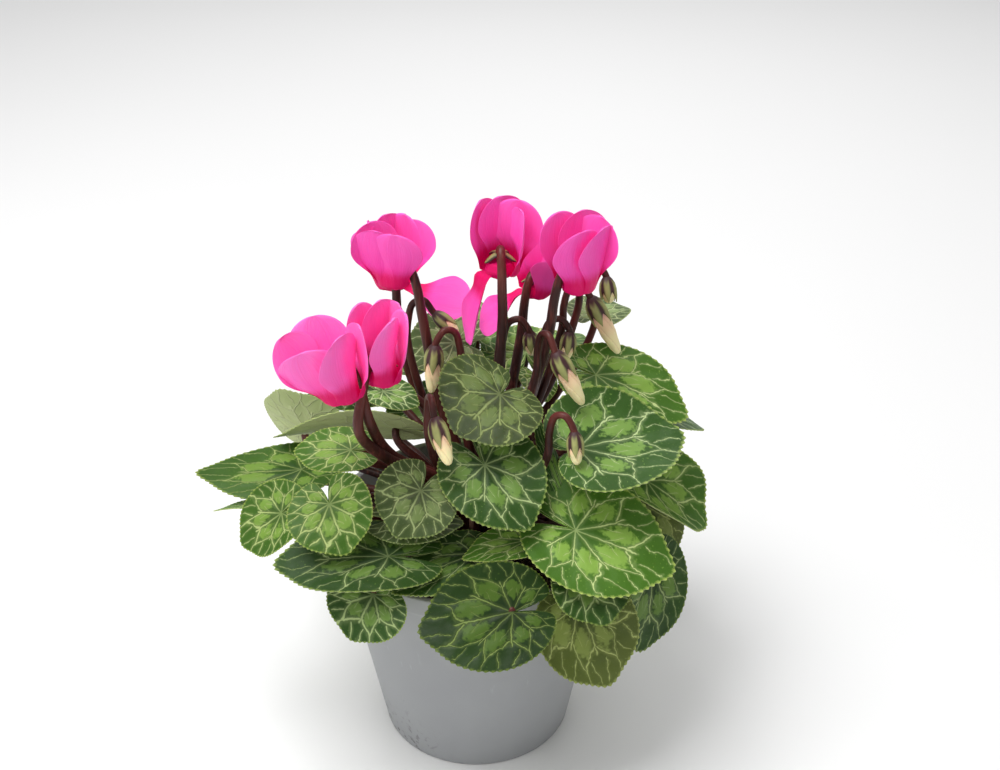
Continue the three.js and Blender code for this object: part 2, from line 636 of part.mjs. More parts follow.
function makeFlowerStalk(flower) {
  const frame = flowerFrame(flower);
  const points = new THREE.CatmullRomCurve3(flowerStalkPoints(flower, frame)).getPoints(FLOWER_STALK_STEPS);
  const radii = points.map((_, i) =>
    THREE.MathUtils.lerp(FLOWER_STALK_FOOT_RADIUS, FLOWER_STALK_RADIUS, Math.min(i / 7, 1)),
  );
  return tubeOf(points, radii, STALK_SIDES).add(makeCalyx(flower, frame));
}

/** A bud's stalk: up from the corm, over in a crook and into the bud's dark calyx. */
function budStalkPoints(bud) {
  const neck = new THREE.Vector3(...bud.neck);
  const aim = new THREE.Vector3(...bud.aim).normalize();
  const crook = new THREE.Vector3(bud.crook[0], bud.crook[1], 0).normalize();
  const from = (sideways, height) =>
    neck.clone().addScaledVector(crook, sideways).addScaledVector(UP, height);
  const low = from(9.5, -12);
  const foot = cormPoint(Math.min(10, Math.hypot(low.x, low.y) / 4), Math.atan2(low.y, low.x));
  const rise = foot.clone().addScaledVector(UP, 22);
  return [
    foot,
    rise.lerp(low, 0.15),
    foot.clone().lerp(low, 0.65),
    low,
    from(9, -3),
    from(7, 3.4),
    from(3.4, 4.6),
    neck,
    neck.clone().addScaledVector(aim, 2),
  ];
}

const BUD_CALYX = [
  [1.2, 0],
  [2.9, 2.6],
  [3.5, 5.6],
  [3.1, 8.2],
];

/** A solid round a straight axis from a list of [radius, distance] pairs. */
function spindle(start, aim, profile, sides) {
  const points = profile.map(([, distance]) => start.clone().addScaledVector(aim, distance));
  return tubeOf(points, profile.map(([radius]) => radius), sides);
}

function makeBudStalk(bud) {
  const points = new THREE.CatmullRomCurve3(budStalkPoints(bud)).getPoints(BUD_STALK_STEPS);
  const radii = points.map((_, i) =>
    THREE.MathUtils.lerp(BUD_STALK_FOOT_RADIUS, BUD_STALK_RADIUS, Math.min(i / 7, 1)),
  );
  const aim = new THREE.Vector3(...bud.aim).normalize();
  const profile = BUD_CALYX.map(([radius, distance]) => [radius * bud.size, distance * bud.size]);
  return tubeOf(points, radii, STALK_SIDES).add(spindle(new THREE.Vector3(...bud.neck), aim, profile, 6));
}

/** A bud's furled petals: a pointed cone below its calyx. */
function makeBudPetals(bud) {
  const aim = new THREE.Vector3(...bud.aim).normalize();
  const start = new THREE.Vector3(...bud.neck).addScaledVector(aim, 8.2 * bud.size + FIT_GAP);
  const profile = [
    [2.9 * bud.size, 0],
    [2.8 * bud.size, 0.3 * bud.length],
    [1.7 * bud.size, 0.75 * bud.length],
    [0.35, bud.length],
  ];
  return spindle(start, aim, profile, 6);
}

// The whole plant in its pot
const cyclamen = new THREE.Group();
cyclamen.add(meshOf("pot", makePot(), potGrey));
cyclamen.add(meshOf("soil", makeSoil(), soilBrown));
const stalks = [
  cormShape(0),
  ...leaves.map(makePetiole),
  ...flowers.map(makeFlowerStalk),
  ...buds.map(makeBudStalk),
];
cyclamen.add(meshOf("corm_and_stalks", wasm.Manifold.union(stalks), stalkBrown));
leaves.forEach((row, i) => {
  const name = `leaf_${String(i + 1).padStart(2, "0")}`;
  cyclamen.add(meshOf(name, makeBlade(row), leafGreens[row.tone]));
});
flowers.forEach((row, i) => cyclamen.add(meshOf(`flower_${i + 1}`, makeCorolla(row), petalPink)));
buds.forEach((row, i) => cyclamen.add(meshOf(`bud_${i + 1}`, makeBudPetals(row), budCream)));

export default cyclamen;
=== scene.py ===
"""A small pink cyclamen in a grey plastic pot. Metres, +Z up. The origin is the centre of the pot's flat
underside, and the front pair of flowers looks towards -Y. Sizes are written in millimetres."""

import bmesh
import bpy
import numpy as np
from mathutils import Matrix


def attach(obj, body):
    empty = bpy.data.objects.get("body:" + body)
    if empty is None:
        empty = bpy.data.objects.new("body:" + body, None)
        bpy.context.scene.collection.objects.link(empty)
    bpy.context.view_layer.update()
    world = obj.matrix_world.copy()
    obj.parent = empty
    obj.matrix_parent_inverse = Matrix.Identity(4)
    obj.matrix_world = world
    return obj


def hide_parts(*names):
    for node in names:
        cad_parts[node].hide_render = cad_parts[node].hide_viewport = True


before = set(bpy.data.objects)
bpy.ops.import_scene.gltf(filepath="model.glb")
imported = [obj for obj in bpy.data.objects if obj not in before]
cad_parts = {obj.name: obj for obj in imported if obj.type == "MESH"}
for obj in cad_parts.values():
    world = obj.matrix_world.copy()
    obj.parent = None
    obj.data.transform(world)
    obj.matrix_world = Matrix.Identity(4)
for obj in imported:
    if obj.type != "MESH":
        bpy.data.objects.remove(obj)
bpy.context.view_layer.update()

# The photograph's view and its light: the camera looks down on the plant from above the front, and three
# large soft lights and an even white surround leave only pale shadows.
PLANT_MIDDLE = (0, 0, 0.12)


def placed(name, data):
    """A new object of this name and data, put into the scene."""
    made = bpy.data.objects.new(name, data)
    bpy.context.scene.collection.objects.link(made)
    return made


camera = placed("camera", bpy.data.cameras.new("camera"))
camera.data.lens = 50.4
camera.data.sensor_width = 36
camera.location = (0.009, -0.419, 0.386)
camera.rotation_euler = (np.radians(60), 0, 0)
bpy.context.scene.camera = camera
bpy.context.scene.view_settings.view_transform = "Standard"


def soft_light(name, place, size, power):
    """A square area light that looks at the middle of the plant."""
    light = placed(name, bpy.data.lights.new(name, "AREA"))
    light.data.size = size
    light.data.energy = power
    light.location = place
    aim = np.array(PLANT_MIDDLE) - place
    light.rotation_euler = (
        np.arctan2(np.hypot(aim[0], aim[1]), -aim[2]), 0, np.arctan2(aim[1], aim[0]) - np.pi / 2)


soft_light("key_light", (-0.3, -0.2, 1.1), 0.6, 10.5)
soft_light("fill_light", (-0.8, -0.7, 0.5), 0.8, 1.6)
soft_light("back_light", (0.1, 0.9, 0.9), 0.8, 4)

world = bpy.data.worlds.new("studio")
world.use_nodes = True
world.node_tree.nodes["Background"].inputs["Color"].default_value = (1, 1, 1, 1)
world.node_tree.nodes["Background"].inputs["Strength"].default_value = 0.5
bpy.context.scene.world = world


# The floor: a plain pale sheet that the pot stands on, matt and very faintly clouded. Its material is made
# as every piece's is, by the functions and the class that follow.
FLOOR_REACH = 6
MM = 0.001


def screen_colour(code):
    """A colour written as on a screen, such as "#8f9297", as a shader's linear red, green, blue, alpha."""
    share = np.array([int(code[i : i + 2], 16) for i in (1, 3, 5)]) / 255
    linear = np.where(share < 0.04045, share / 12.92, ((share + 0.055) / 1.055) ** 2.4)
    return (*linear.tolist(), 1.0)


class Link:
    """An output socket in a material's nodes. Sums and products with it add Math nodes."""

    def __init__(self, tree, socket=None):
        self.tree = tree
        self.socket = socket

    def node(self, kind, settings=None, inputs=None, output=0):
        """Adds a node: its settings are set first, then the values or links of its inputs."""
        made = self.tree.nodes.new("ShaderNode" + kind)
        for key, value in (settings or {}).items():
            setattr(made, key, value)
        for key, value in (inputs or {}).items():
            if isinstance(value, Link):
                self.tree.links.new(value.socket, made.inputs[key])
            else:
                made.inputs[key].default_value = value
        return Link(self.tree, made.outputs[output])

    def place(self):
        """The place on the piece, in metres."""
        return self.node("TexCoord", output="Object")

    def math(self, operation, *values):
        """A Math node on these values and links."""
        return self.node("Math", {"operation": operation}, dict(enumerate(values)))

    def __add__(self, other):
        return self.math("ADD", self, other)

    def __sub__(self, other):
        return self.math("SUBTRACT", self, other)

    def __rsub__(self, other):
        return self.math("SUBTRACT", other, self)

    def __mul__(self, other):
        return self.math("MULTIPLY", self, other)

    def __truediv__(self, other):
        return self.math("DIVIDE", self, other)

    def __pow__(self, other):
        return self.math("POWER", self, other)

    __radd__ = __add__
    __rmul__ = __mul__

    def size(self):
        """The value without its sign."""
        return self.math("ABSOLUTE", self)

    def larger(self, other):
        """The larger of the two values."""
        return self.math("MAXIMUM", self, other)

    def swing(self):
        """1 at each whole number and 0 half way between two, rising and falling evenly."""
        return (self.math("FRACT", self) - 0.5).size() * 2

    def step(self, low, high):
        """A smooth step from 0 at low to 1 at high. It falls instead where low is above high."""
        rising = low < high
        ends = {1: min(low, high), 2: max(low, high), 3: 0 if rising else 1, 4: 1 if rising else 0}
        return self.node("MapRange", {"interpolation_type": "SMOOTHSTEP"}, {0: self, **ends})

    def blend(self, low, high):
        """The colour low where this value is 0 and high where it is 1. Either may be a screen's code."""
        low, high = (screen_colour(end) if isinstance(end, str) else end for end in (low, high))
        return self.node("Mix", {"data_type": "RGBA"}, {0: self, 6: low, 7: high}, 2)

    def part(self, axis):
        """One coordinate of a vector."""
        return self.node("SeparateXYZ", None, {0: self}, "XYZ".index(axis))

    def noise(self, scale, detail=2.0, rough=0.5):
        """Noise from about 0 to 1 at this place, scale waves to a metre."""
        inputs = {"Vector": self, "Scale": scale, "Detail": detail, "Roughness": rough}
        return self.node("TexNoise", None, inputs)


def finish_of(name, make, fixed=None):
    """A material. make(start) gives the links of the shader's changing inputs, with "Height" in
    millimetres for its relief, and fixed holds the inputs that are the same all over."""
    material = bpy.data.materials.new(name)
    material.use_nodes = True
    tree = material.node_tree
    shader = tree.nodes["Principled BSDF"]
    links = make(Link(tree))
    height = links.pop("Height", None)
    if height:
        links["Normal"] = height.node("Bump", None, {"Distance": MM, "Height": height})
    for key, link in links.items():
        tree.links.new(link.socket, shader.inputs[key])
    for key, value in (fixed or {}).items():
        shader.inputs[key].default_value = value
    return material


def floor_looks(start):
    """Two near whites, blended by broad soft noise."""
    return {"Base Color": start.place().noise(2).blend((0.8, 0.8, 0.8, 1), (0.84, 0.84, 0.84, 1))}


floor_mesh = bpy.data.meshes.new("floor")
floor_corners = [(x * FLOOR_REACH, y * FLOOR_REACH, 0) for x, y in ((-1, -1), (1, -1), (1, 1), (-1, 1))]
floor_mesh.from_pydata(floor_corners, [], [(0, 1, 2, 3)])
floor_mesh.materials.append(finish_of("floor", floor_looks, {"Roughness": 0.9}))
floor = placed("floor", floor_mesh)


# The pot: a tapered tub of grey plastic, moulded in one, with a wider band at its rim and six drain holes
# in its floor. Handling has left it finely scuffed, with a little dried compost low on one side.
POT_HEIGHT, POT_BASE_RADIUS, POT_RIM_RADIUS, POT_WALL, POT_FLOOR = 90, 35.5, 53, 1.3, 1.8
RIM_BAND, RIM_STEP, RIM_STEP_HEIGHT = 9, 1.1, 0.6
POT_CORNER_REACH, POT_SIDES, POT_SHARP_ANGLE = 0.9, 192, 40
DRAIN_HOLES, DRAIN_HOLE_RADIUS, DRAIN_HOLE_SIDES, DRAIN_CIRCLE_RADIUS, DRAIN_BIT_REACH = 6, 2.6, 24, 25, 4
MERGE_DISTANCE = 1e-6


def rounded(corners, reach, arc_points=5):
    """A profile with each inner corner cut at reach from it, or nearly half way to the next where that is
    less, and joined by a parabola."""
    corners = np.array(corners, float)
    before, at, after = corners[:-2], corners[1:-1], corners[2:]

    def towards(other):
        step = other - at
        distance = np.linalg.norm(step, axis=1, keepdims=True)
        return at + step / distance * np.minimum(reach, 0.45 * distance)

    start, end = towards(before)[:, None], towards(after)[:, None]
    share = np.linspace(0, 1, arc_points)[None, :, None]
    arcs = (1 - share) ** 2 * start + 2 * share * (1 - share) * at[:, None] + share**2 * end
    return np.concatenate([corners[:1], arcs.reshape(-1, 2), corners[-1:]])


def uv_grid(across, along):
    """The UV of a grid's points, from their shares across it and along it."""
    return np.stack(np.broadcast_arrays(across, along), -1)


def full_turn(sides):
    """The bearings of a ring's corners, with the first again at the end."""
    return np.linspace(0, 2 * np.pi, sides + 1)


def turned(profile, sides):
    """A surface of revolution: radius times cosine and sine of the bearing, and the height. Its UV is the
    share round and the share along the profile."""
    turn = full_turn(sides)
    radius, height = profile[:, :1], profile[:, 1:]
    points = np.stack([radius * np.cos(turn), radius * np.sin(turn), height + 0 * turn], -1)
    return points, uv_grid(turn / (2 * np.pi), np.linspace(0, 1, len(profile))[:, None])


def mesh_of(name, surfaces):
    """A mesh from grids of points in millimetres, each with its UV and the number of its material, or
    one number for each row of faces. Seams and poles close where points coincide."""
    mesh = bpy.data.meshes.new(name)
    corners, quads, numbers, first = [], [], [], 0
    for points, uv, number in surfaces:
        rows, columns = points.shape[:2]
        at = first + np.arange(rows - 1)[:, None] * columns + np.arange(columns - 1)
        quads.append(np.stack([at, at + 1, at + columns + 1, at + columns], -1).reshape(-1, 4))
        numbers.append(np.repeat(np.broadcast_to(number, rows - 1), columns - 1))
        corners.append(np.concatenate([points * MM, uv], -1).reshape(-1, 5))
        first += rows * columns
    corners, quads = np.concatenate(corners), np.concatenate(quads)
    mesh.vertices.add(len(corners))
    mesh.vertices.foreach_set("co", corners[:, :3].ravel())
    mesh.loops.add(quads.size)
    mesh.loops.foreach_set("vertex_index", quads.ravel().astype(np.int32))
    mesh.polygons.add(len(quads))
    mesh.polygons.foreach_set("loop_start", np.arange(0, quads.size, 4, dtype=np.int32))
    mesh.polygons.foreach_set("material_index", np.concatenate(numbers).astype(np.int32))
    mesh.update(calc_edges=True)
    mesh.uv_layers.new(name="UVMap").data.foreach_set("uv", corners[quads.ravel(), 3:].ravel())
    joined = bmesh.new()
    joined.from_mesh(mesh)
    bmesh.ops.remove_doubles(joined, verts=joined.verts, dist=MERGE_DISTANCE)
    bmesh.ops.recalc_face_normals(joined, faces=joined.faces)
    joined.to_mesh(mesh)
    joined.free()
    mesh.shade_smooth()
    return mesh


def build(name, surfaces, materials, slot, *stands_for):
    """A piece of the plant or its pot, and the solids that it stands for."""
    piece = placed(name, mesh_of(name, surfaces))
    for material in materials:
        piece.data.materials.append(material)
    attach(piece, "root")
    if stands_for:
        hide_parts(*stands_for)
    return piece


def pot_looks(start):
    """Grey with soft clouds and fine slanting scratches, and brown specks that gather low on the left."""
    place = start.place()
    high = place.part("Z")
    cloud = place.noise(25, 3)
    fine = place.noise(1400, 2)
    along = start.node("Mapping", None, {"Vector": place, "Rotation": (0.5, 0.3, 0), "Scale": (1, 1, 0.12)})
    scratch = along.noise(420, 2).step(0.66, 0.74) * place.noise(60).step(0.5, 0.7)
    left = place.part("X").step(-0.005, -0.035) * high.step(0.022, 0.002)
    specks = place.noise(420, 3).step(0.55, 0.68) * (left + place.noise(50).step(0.66, 0.8) * 0.4)
    grey = cloud.blend("#8f9194", "#a0a2a3")
    worn = (scratch * 0.35).blend(grey, "#c4c8cc")
    return {
        "Base Color": (specks * 0.8).blend(worn, "#3a2e24"),
        "Roughness": 0.48 + cloud * 0.12 + scratch * 0.2 + specks * 0.2,
        "Height": fine * 0.03 + specks * 0.3 - scratch * 0.05,
    }


pot_grey = finish_of("pot_grey", pot_looks)
taper = (POT_RIM_RADIUS - RIM_STEP - POT_BASE_RADIUS) / POT_HEIGHT
band_foot = POT_HEIGHT - RIM_BAND
under_band = POT_BASE_RADIUS + taper * band_foot
pot_corners = [
    (0, 0),
    (POT_BASE_RADIUS, 0),
    (under_band, band_foot),
    (under_band + RIM_STEP, band_foot + RIM_STEP_HEIGHT),
    (POT_RIM_RADIUS, POT_HEIGHT),
    (POT_RIM_RADIUS - RIM_STEP - POT_WALL, POT_HEIGHT),
    (POT_BASE_RADIUS - POT_WALL, POT_FLOOR),
    (0, POT_FLOOR),
]
pot_profile = rounded(pot_corners, POT_CORNER_REACH)
pot = build("pot_shell", [(*turned(pot_profile, POT_SIDES), 0)], [pot_grey], "pot", "pot")

# The drain holes are drilled: a bit for each is cut out of the pot's floor, and then the bits are removed.
bit_profile = np.array([(0, -1), (1, -1), (1, 1), (0, 1)]) * (DRAIN_HOLE_RADIUS, DRAIN_BIT_REACH)
bit_points, bit_uv = turned(bit_profile, DRAIN_HOLE_SIDES)
bearings = np.arange(DRAIN_HOLES) * 2 * np.pi / DRAIN_HOLES
centres = DRAIN_CIRCLE_RADIUS * np.stack([np.cos(bearings), np.sin(bearings), 0 * bearings], -1)
bits = placed("drain_bits", mesh_of("drain_bits", [(bit_points + at, bit_uv, 0) for at in centres]))
drilling = pot.modifiers.new("drain_holes", "BOOLEAN")
drilling.object, drilling.solver = bits, "EXACT"
pot.data = bpy.data.meshes.new_from_object(pot.evaluated_get(bpy.context.evaluated_depsgraph_get()))
pot.modifiers.clear()
bpy.data.objects.remove(bits)
pot.data.set_sharp_from_angle(angle=np.radians(POT_SHARP_ANGLE))


# The compost: dark peat that fills the pot to a finger's breadth below its rim. Its top was pressed down
# lightly by hand, so it is lumpy, with loose crumbs lying on it.
SOIL_LEVEL, SOIL_RADIUS, SOIL_FOOT_RADIUS, SOIL_RINGS, SOIL_SECTORS = 79, 48.6, 34, 44, 160
LUMPS, LUMP_RADII, LUMP_HEIGHTS = 260, (1.5, 6), (0.3, 1.9)
CRUMBS, CRUMB_RADII = 380, (0.4, 1.3)
chance = np.random.default_rng(5)


def soil_height(x, y, lumps):
    """The compost's top: over a flat level, the highest at each place of a set of round lumps. A lump's
    row is its place, its radius and its height, and its side falls off as a bell curve."""
    away = (x[..., None] - lumps[:, 0]) ** 2 + (y[..., None] - lumps[:, 1]) ** 2
    return SOIL_LEVEL - 1 + (lumps[:, 3] * np.exp(-away / lumps[:, 2] ** 2)).max(-1)


def soil_surface(lumps):
    """A disc of rings out to the pot's wall, then a plain cone down inside it to the pot's floor."""
    turn = full_turn(SOIL_SECTORS)
    radius = np.concatenate([np.linspace(0, SOIL_RADIUS, SOIL_RINGS), [SOIL_FOOT_RADIUS, 0]])[:, None]
    x, y = radius * np.cos(turn), radius * np.sin(turn)
    height = soil_height(x, y, lumps)
    height[:, -1] = height[:, 0]
    height[0] = height[0, 0]
    height[SOIL_RINGS:] = POT_FLOOR
    uv = np.stack([x, y], -1) / (2 * SOIL_RADIUS) + 0.5
    return np.stack([x, y, height], -1), uv


def crumb_surfaces(count, lumps):
    """Small balls of six sides, half sunk in the compost's top, each with three radii of its own."""
    angle = full_turn(6)
    rise = np.radians([-90, -30, 30, 90])[:, None]
    level = np.cos(rise)
    ball = np.stack([level * np.cos(angle), level * np.sin(angle), np.sin(rise) + 0 * angle], -1)
    made = []
    for _ in range(count):
        distance = (SOIL_RADIUS - 2) * np.sqrt(chance.uniform(0.02, 1))
        bearing = chance.uniform(0, 2 * np.pi)
        x, y = distance * np.cos(bearing), distance * np.sin(bearing)
        middle = np.array([x, y, soil_height(np.array(x), np.array(y), lumps)])
        points = middle + ball * chance.uniform(*CRUMB_RADII, 3)
        made.append((points, np.zeros((*points.shape[:2], 2)), 0))
    return made


def soil_looks(start):
    """Dark brown, lighter on some clods, with small pale grains and no gloss."""
    place = start.place()
    lump, grain = place.noise(220, 4), place.noise(1500, 3)
    dark = lump.blend("#1d130c", "#4a3626")
    return {
        "Base Color": grain.step(0.62, 0.72).blend(dark, "#6d5642"),
        "Roughness": 0.85 + grain * 0.12,
        "Height": lump * 0.8 + grain * 0.5,
    }


soil_brown = finish_of("soil_brown", soil_looks)
lump_columns = [
    chance.uniform(-SOIL_RADIUS, SOIL_RADIUS, LUMPS),
    chance.uniform(-SOIL_RADIUS, SOIL_RADIUS, LUMPS),
    chance.uniform(*LUMP_RADII, LUMPS),
    chance.uniform(*LUMP_HEIGHTS, LUMPS),
]
soil_lumps = np.stack(lump_columns, 1)
soil_surfaces = [(*soil_surface(soil_lumps), 0), *crumb_surfaces(CRUMBS, soil_lumps)]
build("compost", soil_surfaces, [soil_brown], "soil", "soil")


# The corm: a flattened ball with a rough corky skin and low ridges, sunk in the compost to just above its
# middle. Every leaf, flower and bud grows from its top.
CORM_RADIUS, CORM_HALF_HEIGHT, CORM_CENTRE_HEIGHT, CORM_ROWS, CORM_SIDES = 19, 13, 75, 48, 96


def corm_surface():
    """An ellipsoid with low ridges round it: its radius swells by a sum of sines of bearing and height."""
    rise = np.linspace(-np.pi / 2, np.pi / 2, CORM_ROWS + 1)[:, None]
    turn = full_turn(CORM_SIDES)
    swell = 1 + np.cos(rise) * (0.02 * np.sin(7 * turn + 3 * rise) + 0.012 * np.sin(13 * turn - 5 * rise))
    level = CORM_RADIUS * np.cos(rise)
    z = CORM_CENTRE_HEIGHT + CORM_HALF_HEIGHT * np.sin(rise) * swell
    points = np.stack([level * np.cos(turn) * swell, level * np.sin(turn) * swell, z], -1)
    return points, uv_grid(turn / (2 * np.pi), rise / np.pi + 0.5)


def corm_looks(start):
    """Cork, mottled dark and light brown."""
    place = start.place()
    cork, grain = place.noise(160, 4, 0.6), place.noise(900, 2)
    return {
        "Base Color": cork.blend("#2c1b12", "#6e4b33"),
        "Roughness": 0.75 + grain * 0.15,
        "Height": cork * 0.8 + grain * 0.2,
    }


corm_cork = finish_of("corm_cork", corm_looks)
build("corm", [(*corm_surface(), 0)], [corm_cork], "stalk", "corm_and_stalks")


# The leaves: thick heart-shaped blades on fleshy stalks that grow from the corm. Nine pale veins fan out
# from the stalk, fork and arch over, and the margin has small round teeth. Young leaves are brighter, and
# some show their pale undersides.

# A row is one leaf: its tone, where its stalk meets the blade, its tip and which way its upper face looks,
# then how it differs from the usual leaf. The last two, one far back and one standing on edge between two
# others, have no solid of their own.
LEAVES = [
    ("deep", (35, -28, 136), (72, -14, 134), (0.15, -0.33, 1), {"cup": 24, "wide": 0.78, "back": 0.25}),
    ("bright", (43, 14, 140), (77, 8, 127), (0.3, -0.25, 1), {"cup": 10, "wide": 0.72, "back": 0.5}),
    ("deep", (4, -32, 132), (19, -49, 118), (0.1, -0.7, 0.9), {"wide": 0.85, "back": 0.8, "dark": 0.3}),
    ("bright", (34, -41, 112), (67, -48, 100), (0.2, -0.6, 0.9), {"wide": 0.75, "back": 0.75}),
    ("bright", (60, -13, 113), (83, -13, 94), (0.45, -0.5, 0.75), {"cup": 100, "curl": 10, "wide": 0.75}),
    ("olive", (61, -10, 100), (72, -14, 77), (0.7, -0.65, 0.4), {"cup": 20, "wide": 0.7, "back": 0.3}),
    ("deep", (62, -30, 87), (59, -39, 57), (0.6, -0.75, 0.2),
     {"wide": 0.7, "back": 0.6, "lift": 17, "dark": 0.5}),
    ("olive", (35, -50, 88), (47, -57, 58), (0.15, -0.9, 0.3),
     {"curl": 10, "wide": 0.74, "back": 0.3, "lift": 18}),
    ("deep", (38, -49, 101), (44, -61, 88), (0.15, -0.8, 0.6),
     {"wide": 1, "back": 0.6, "lift": 10, "dark": 0.5}),
    ("deep", (13, -60, 93), (-18, -63, 87), (-0.1, -0.8, 0.7),
     {"cup": 24, "wide": 0.75, "back": 0.65, "lift": 12, "dark": 1}),
    ("bright", (18, -40, 107), (-4, -44, 103), (-0.05, -0.2, 1), {"cup": 30, "wide": 0.5, "back": 0.2}),
    ("deep", (-28, -46, 105), (-67, -45, 101), (-0.05, -0.4, 1), {"wide": 0.48, "dark": 0.5}),
    ("deep", (0, -39, 101), (-27, -53, 95), (-0.1, -0.5, 1), {"wide": 0.48, "back": 0.3, "dark": 0.5}),
    ("deep", (-33, -51, 93), (-41, -59, 80), (-0.3, -0.9, 0.35),
     {"wide": 1.15, "back": 0.4, "lift": 8, "dark": 0.4}),
    ("bright", (-47, -40, 122), (-41, -52, 110), (-0.2, -0.75, 0.65),
     {"cup": 20, "wide": 1.1, "back": 0.8, "rise": 0.9, "dark": 0.4}),
    ("bright", (-41, -23, 132), (-61, -19, 129), (-0.1, -0.4, 1), {"cup": 10, "wide": 0.62, "dark": 0.3}),
    ("grey", (-17, -38, 126), (-25, -48, 114), (0, -0.8, 0.7),
     {"cup": 20, "wide": 1.05, "back": 0.8, "dark": 0.5}),
    ("grey", (-22, -36, 113), (-3, -37, 112), (0, -0.35, 1),
     {"cup": 10, "wide": 0.65, "back": 1.1, "lift": 4}),
    ("bright", (-28, 4, 124), (-73, 10, 117), (0.1, 0.75, 0.65), {"cup": 20, "wide": 0.42, "back": 0.3}),
    ("grey", (-64, 30, 107), (-72, 28, 127), (0.3, 0.8, 0.3), {"cup": 20, "curl": -12, "wide": 1.1}),
    ("bright", (-70, -8, 98), (-93, -10, 99), (0, 0.35, 0.95), {"wide": 0.45, "back": 0.6, "lift": 10}),
    ("bright", (-62, 0, 109), (-101, 3, 105), (-0.2, -0.35, 1),
     {"curl": -10, "wide": 0.42, "back": 0.6, "dark": 0.6}),
    ("bright", (-66, -24, 107), (-81, -25, 94), (-0.5, -0.6, 0.6),
     {"cup": 30, "wide": 0.85, "back": 0.8, "dark": 0.4}),
    ("grey", (9, -20, 152), (-6, -32, 144), (-0.1, -0.6, 1),
     {"cup": 18, "wide": 1.3, "back": 0.6, "dark": 0.8}),
    ("grey", (-8, 38, 140), (-28, 42, 137), (0, -0.45, 1), {"wide": 1, "back": 0.9}),
    ("deep", (0, 52, 137), (-3, 73, 141), (0, -0.25, 1), {"cup": 10, "curl": 18, "wide": 0.8}),
    ("grey", (44, 36, 153), (50, 52, 151), (0, -0.1, 1), {"rise": 0.3}),
    ("bright", (27, 43, 137), (40, 64, 129), (0.2, 0.4, 1), {"wide": 0.6, "back": 0.6}),
    ("deep", (-34, 32, 132), (-54, 54, 122), (-0.2, 0.4, 1), {"wide": 0.8}),
    ("deep", (-46, 42, 116), (-72, 58, 104), (-0.4, 0.2, 1), {"wide": 0.65}),
    ("deep", (60, 26, 122), (86, 34, 106), (0.6, 0.2, 0.8), {"wide": 0.8}),
    ("bright", (44, 48, 116), (62, 68, 98), (0.5, 0.5, 0.7), {}),
    ("deep", (10, 60, 112), (14, 84, 94), (0.1, 0.7, 0.7), {}),
    ("bright", (-28, 56, 108), (-38, 78, 90), (-0.3, 0.7, 0.7), {}),
    ("deep", (-62, 50, 94), (-80, 62, 76), (-0.6, 0.4, 0.6), {"wide": 0.65, "lift": 14}),
    ("deep", (62, 18, 96), (76, 24, 68), (0.9, 0.1, 0.4), {"wide": 0.8}),
    ("olive", (28, 58, 92), (38, 76, 66), (0.4, 0.8, 0.4), {"lift": 12}),
    ("deep", (-32, 4, 139), (-19, 0, 136), (0, -0.3, 1), {"wide": 0.7, "rise": 1.2, "lift": 10}),
    ("bright", (22, 27, 132), (26, 17, 127), (0.3, -0.5, 0.8), {"cup": 24, "wide": 0.8}),
    ("deep", (-11, 30, 117), (-34, 35, 113), (0, -0.45, 1), {"wide": 0.75, "back": 0.3}),
    ("grey", (4, 36, 108), (-16, 42, 102), (0, -0.4, 1), {}),
    ("bright", (19, 52, 128), (18, 70, 131), (0, -0.5, 1), {"wide": 1.2, "back": 1}),
    ("deep", (33, -33, 112), (19, -12, 142), (0.5, -0.9, 0.3), {"wide": 0.13, "back": 0.5, "rise": 0.3}),
]
SOLID_LEAVES = 41

# The usual leaf: the degrees that it is bent across and along, its width and rear lobes as shares of a
# plain heart's, how steeply its stalk climbs, how far that bows up before the blade, and how shaded it is.
USUAL_LEAF = {"cup": 14, "curl": 14, "wide": 0.9, "back": 0.7, "rise": 0.7, "lift": 0, "dark": 0}
BLADE_THICKNESS, BLADE_ROWS, BLADE_COLUMNS, MAIN_VEINS, FIELD_SWELL = 0.6, 15, 280, 9, 0.3
TIP_SPREAD, NOTCH_SPREAD, NOTCH_DEPTH = 13, 12, 0.88
RIM_WAVES, RIM_WAVE_DEPTH, MARGIN_TEETH, TOOTH_DEPTH = 3, 0.045, 70, 0.012
PETIOLE_RADIUS, PETIOLE_FOOT_RADIUS, STALK_SINK = 1.35, 1.7, 3


def unit(vector):
    """A vector, or each of an array of them, made 1 long."""
    return vector / np.linalg.norm(vector, axis=-1, keepdims=True)


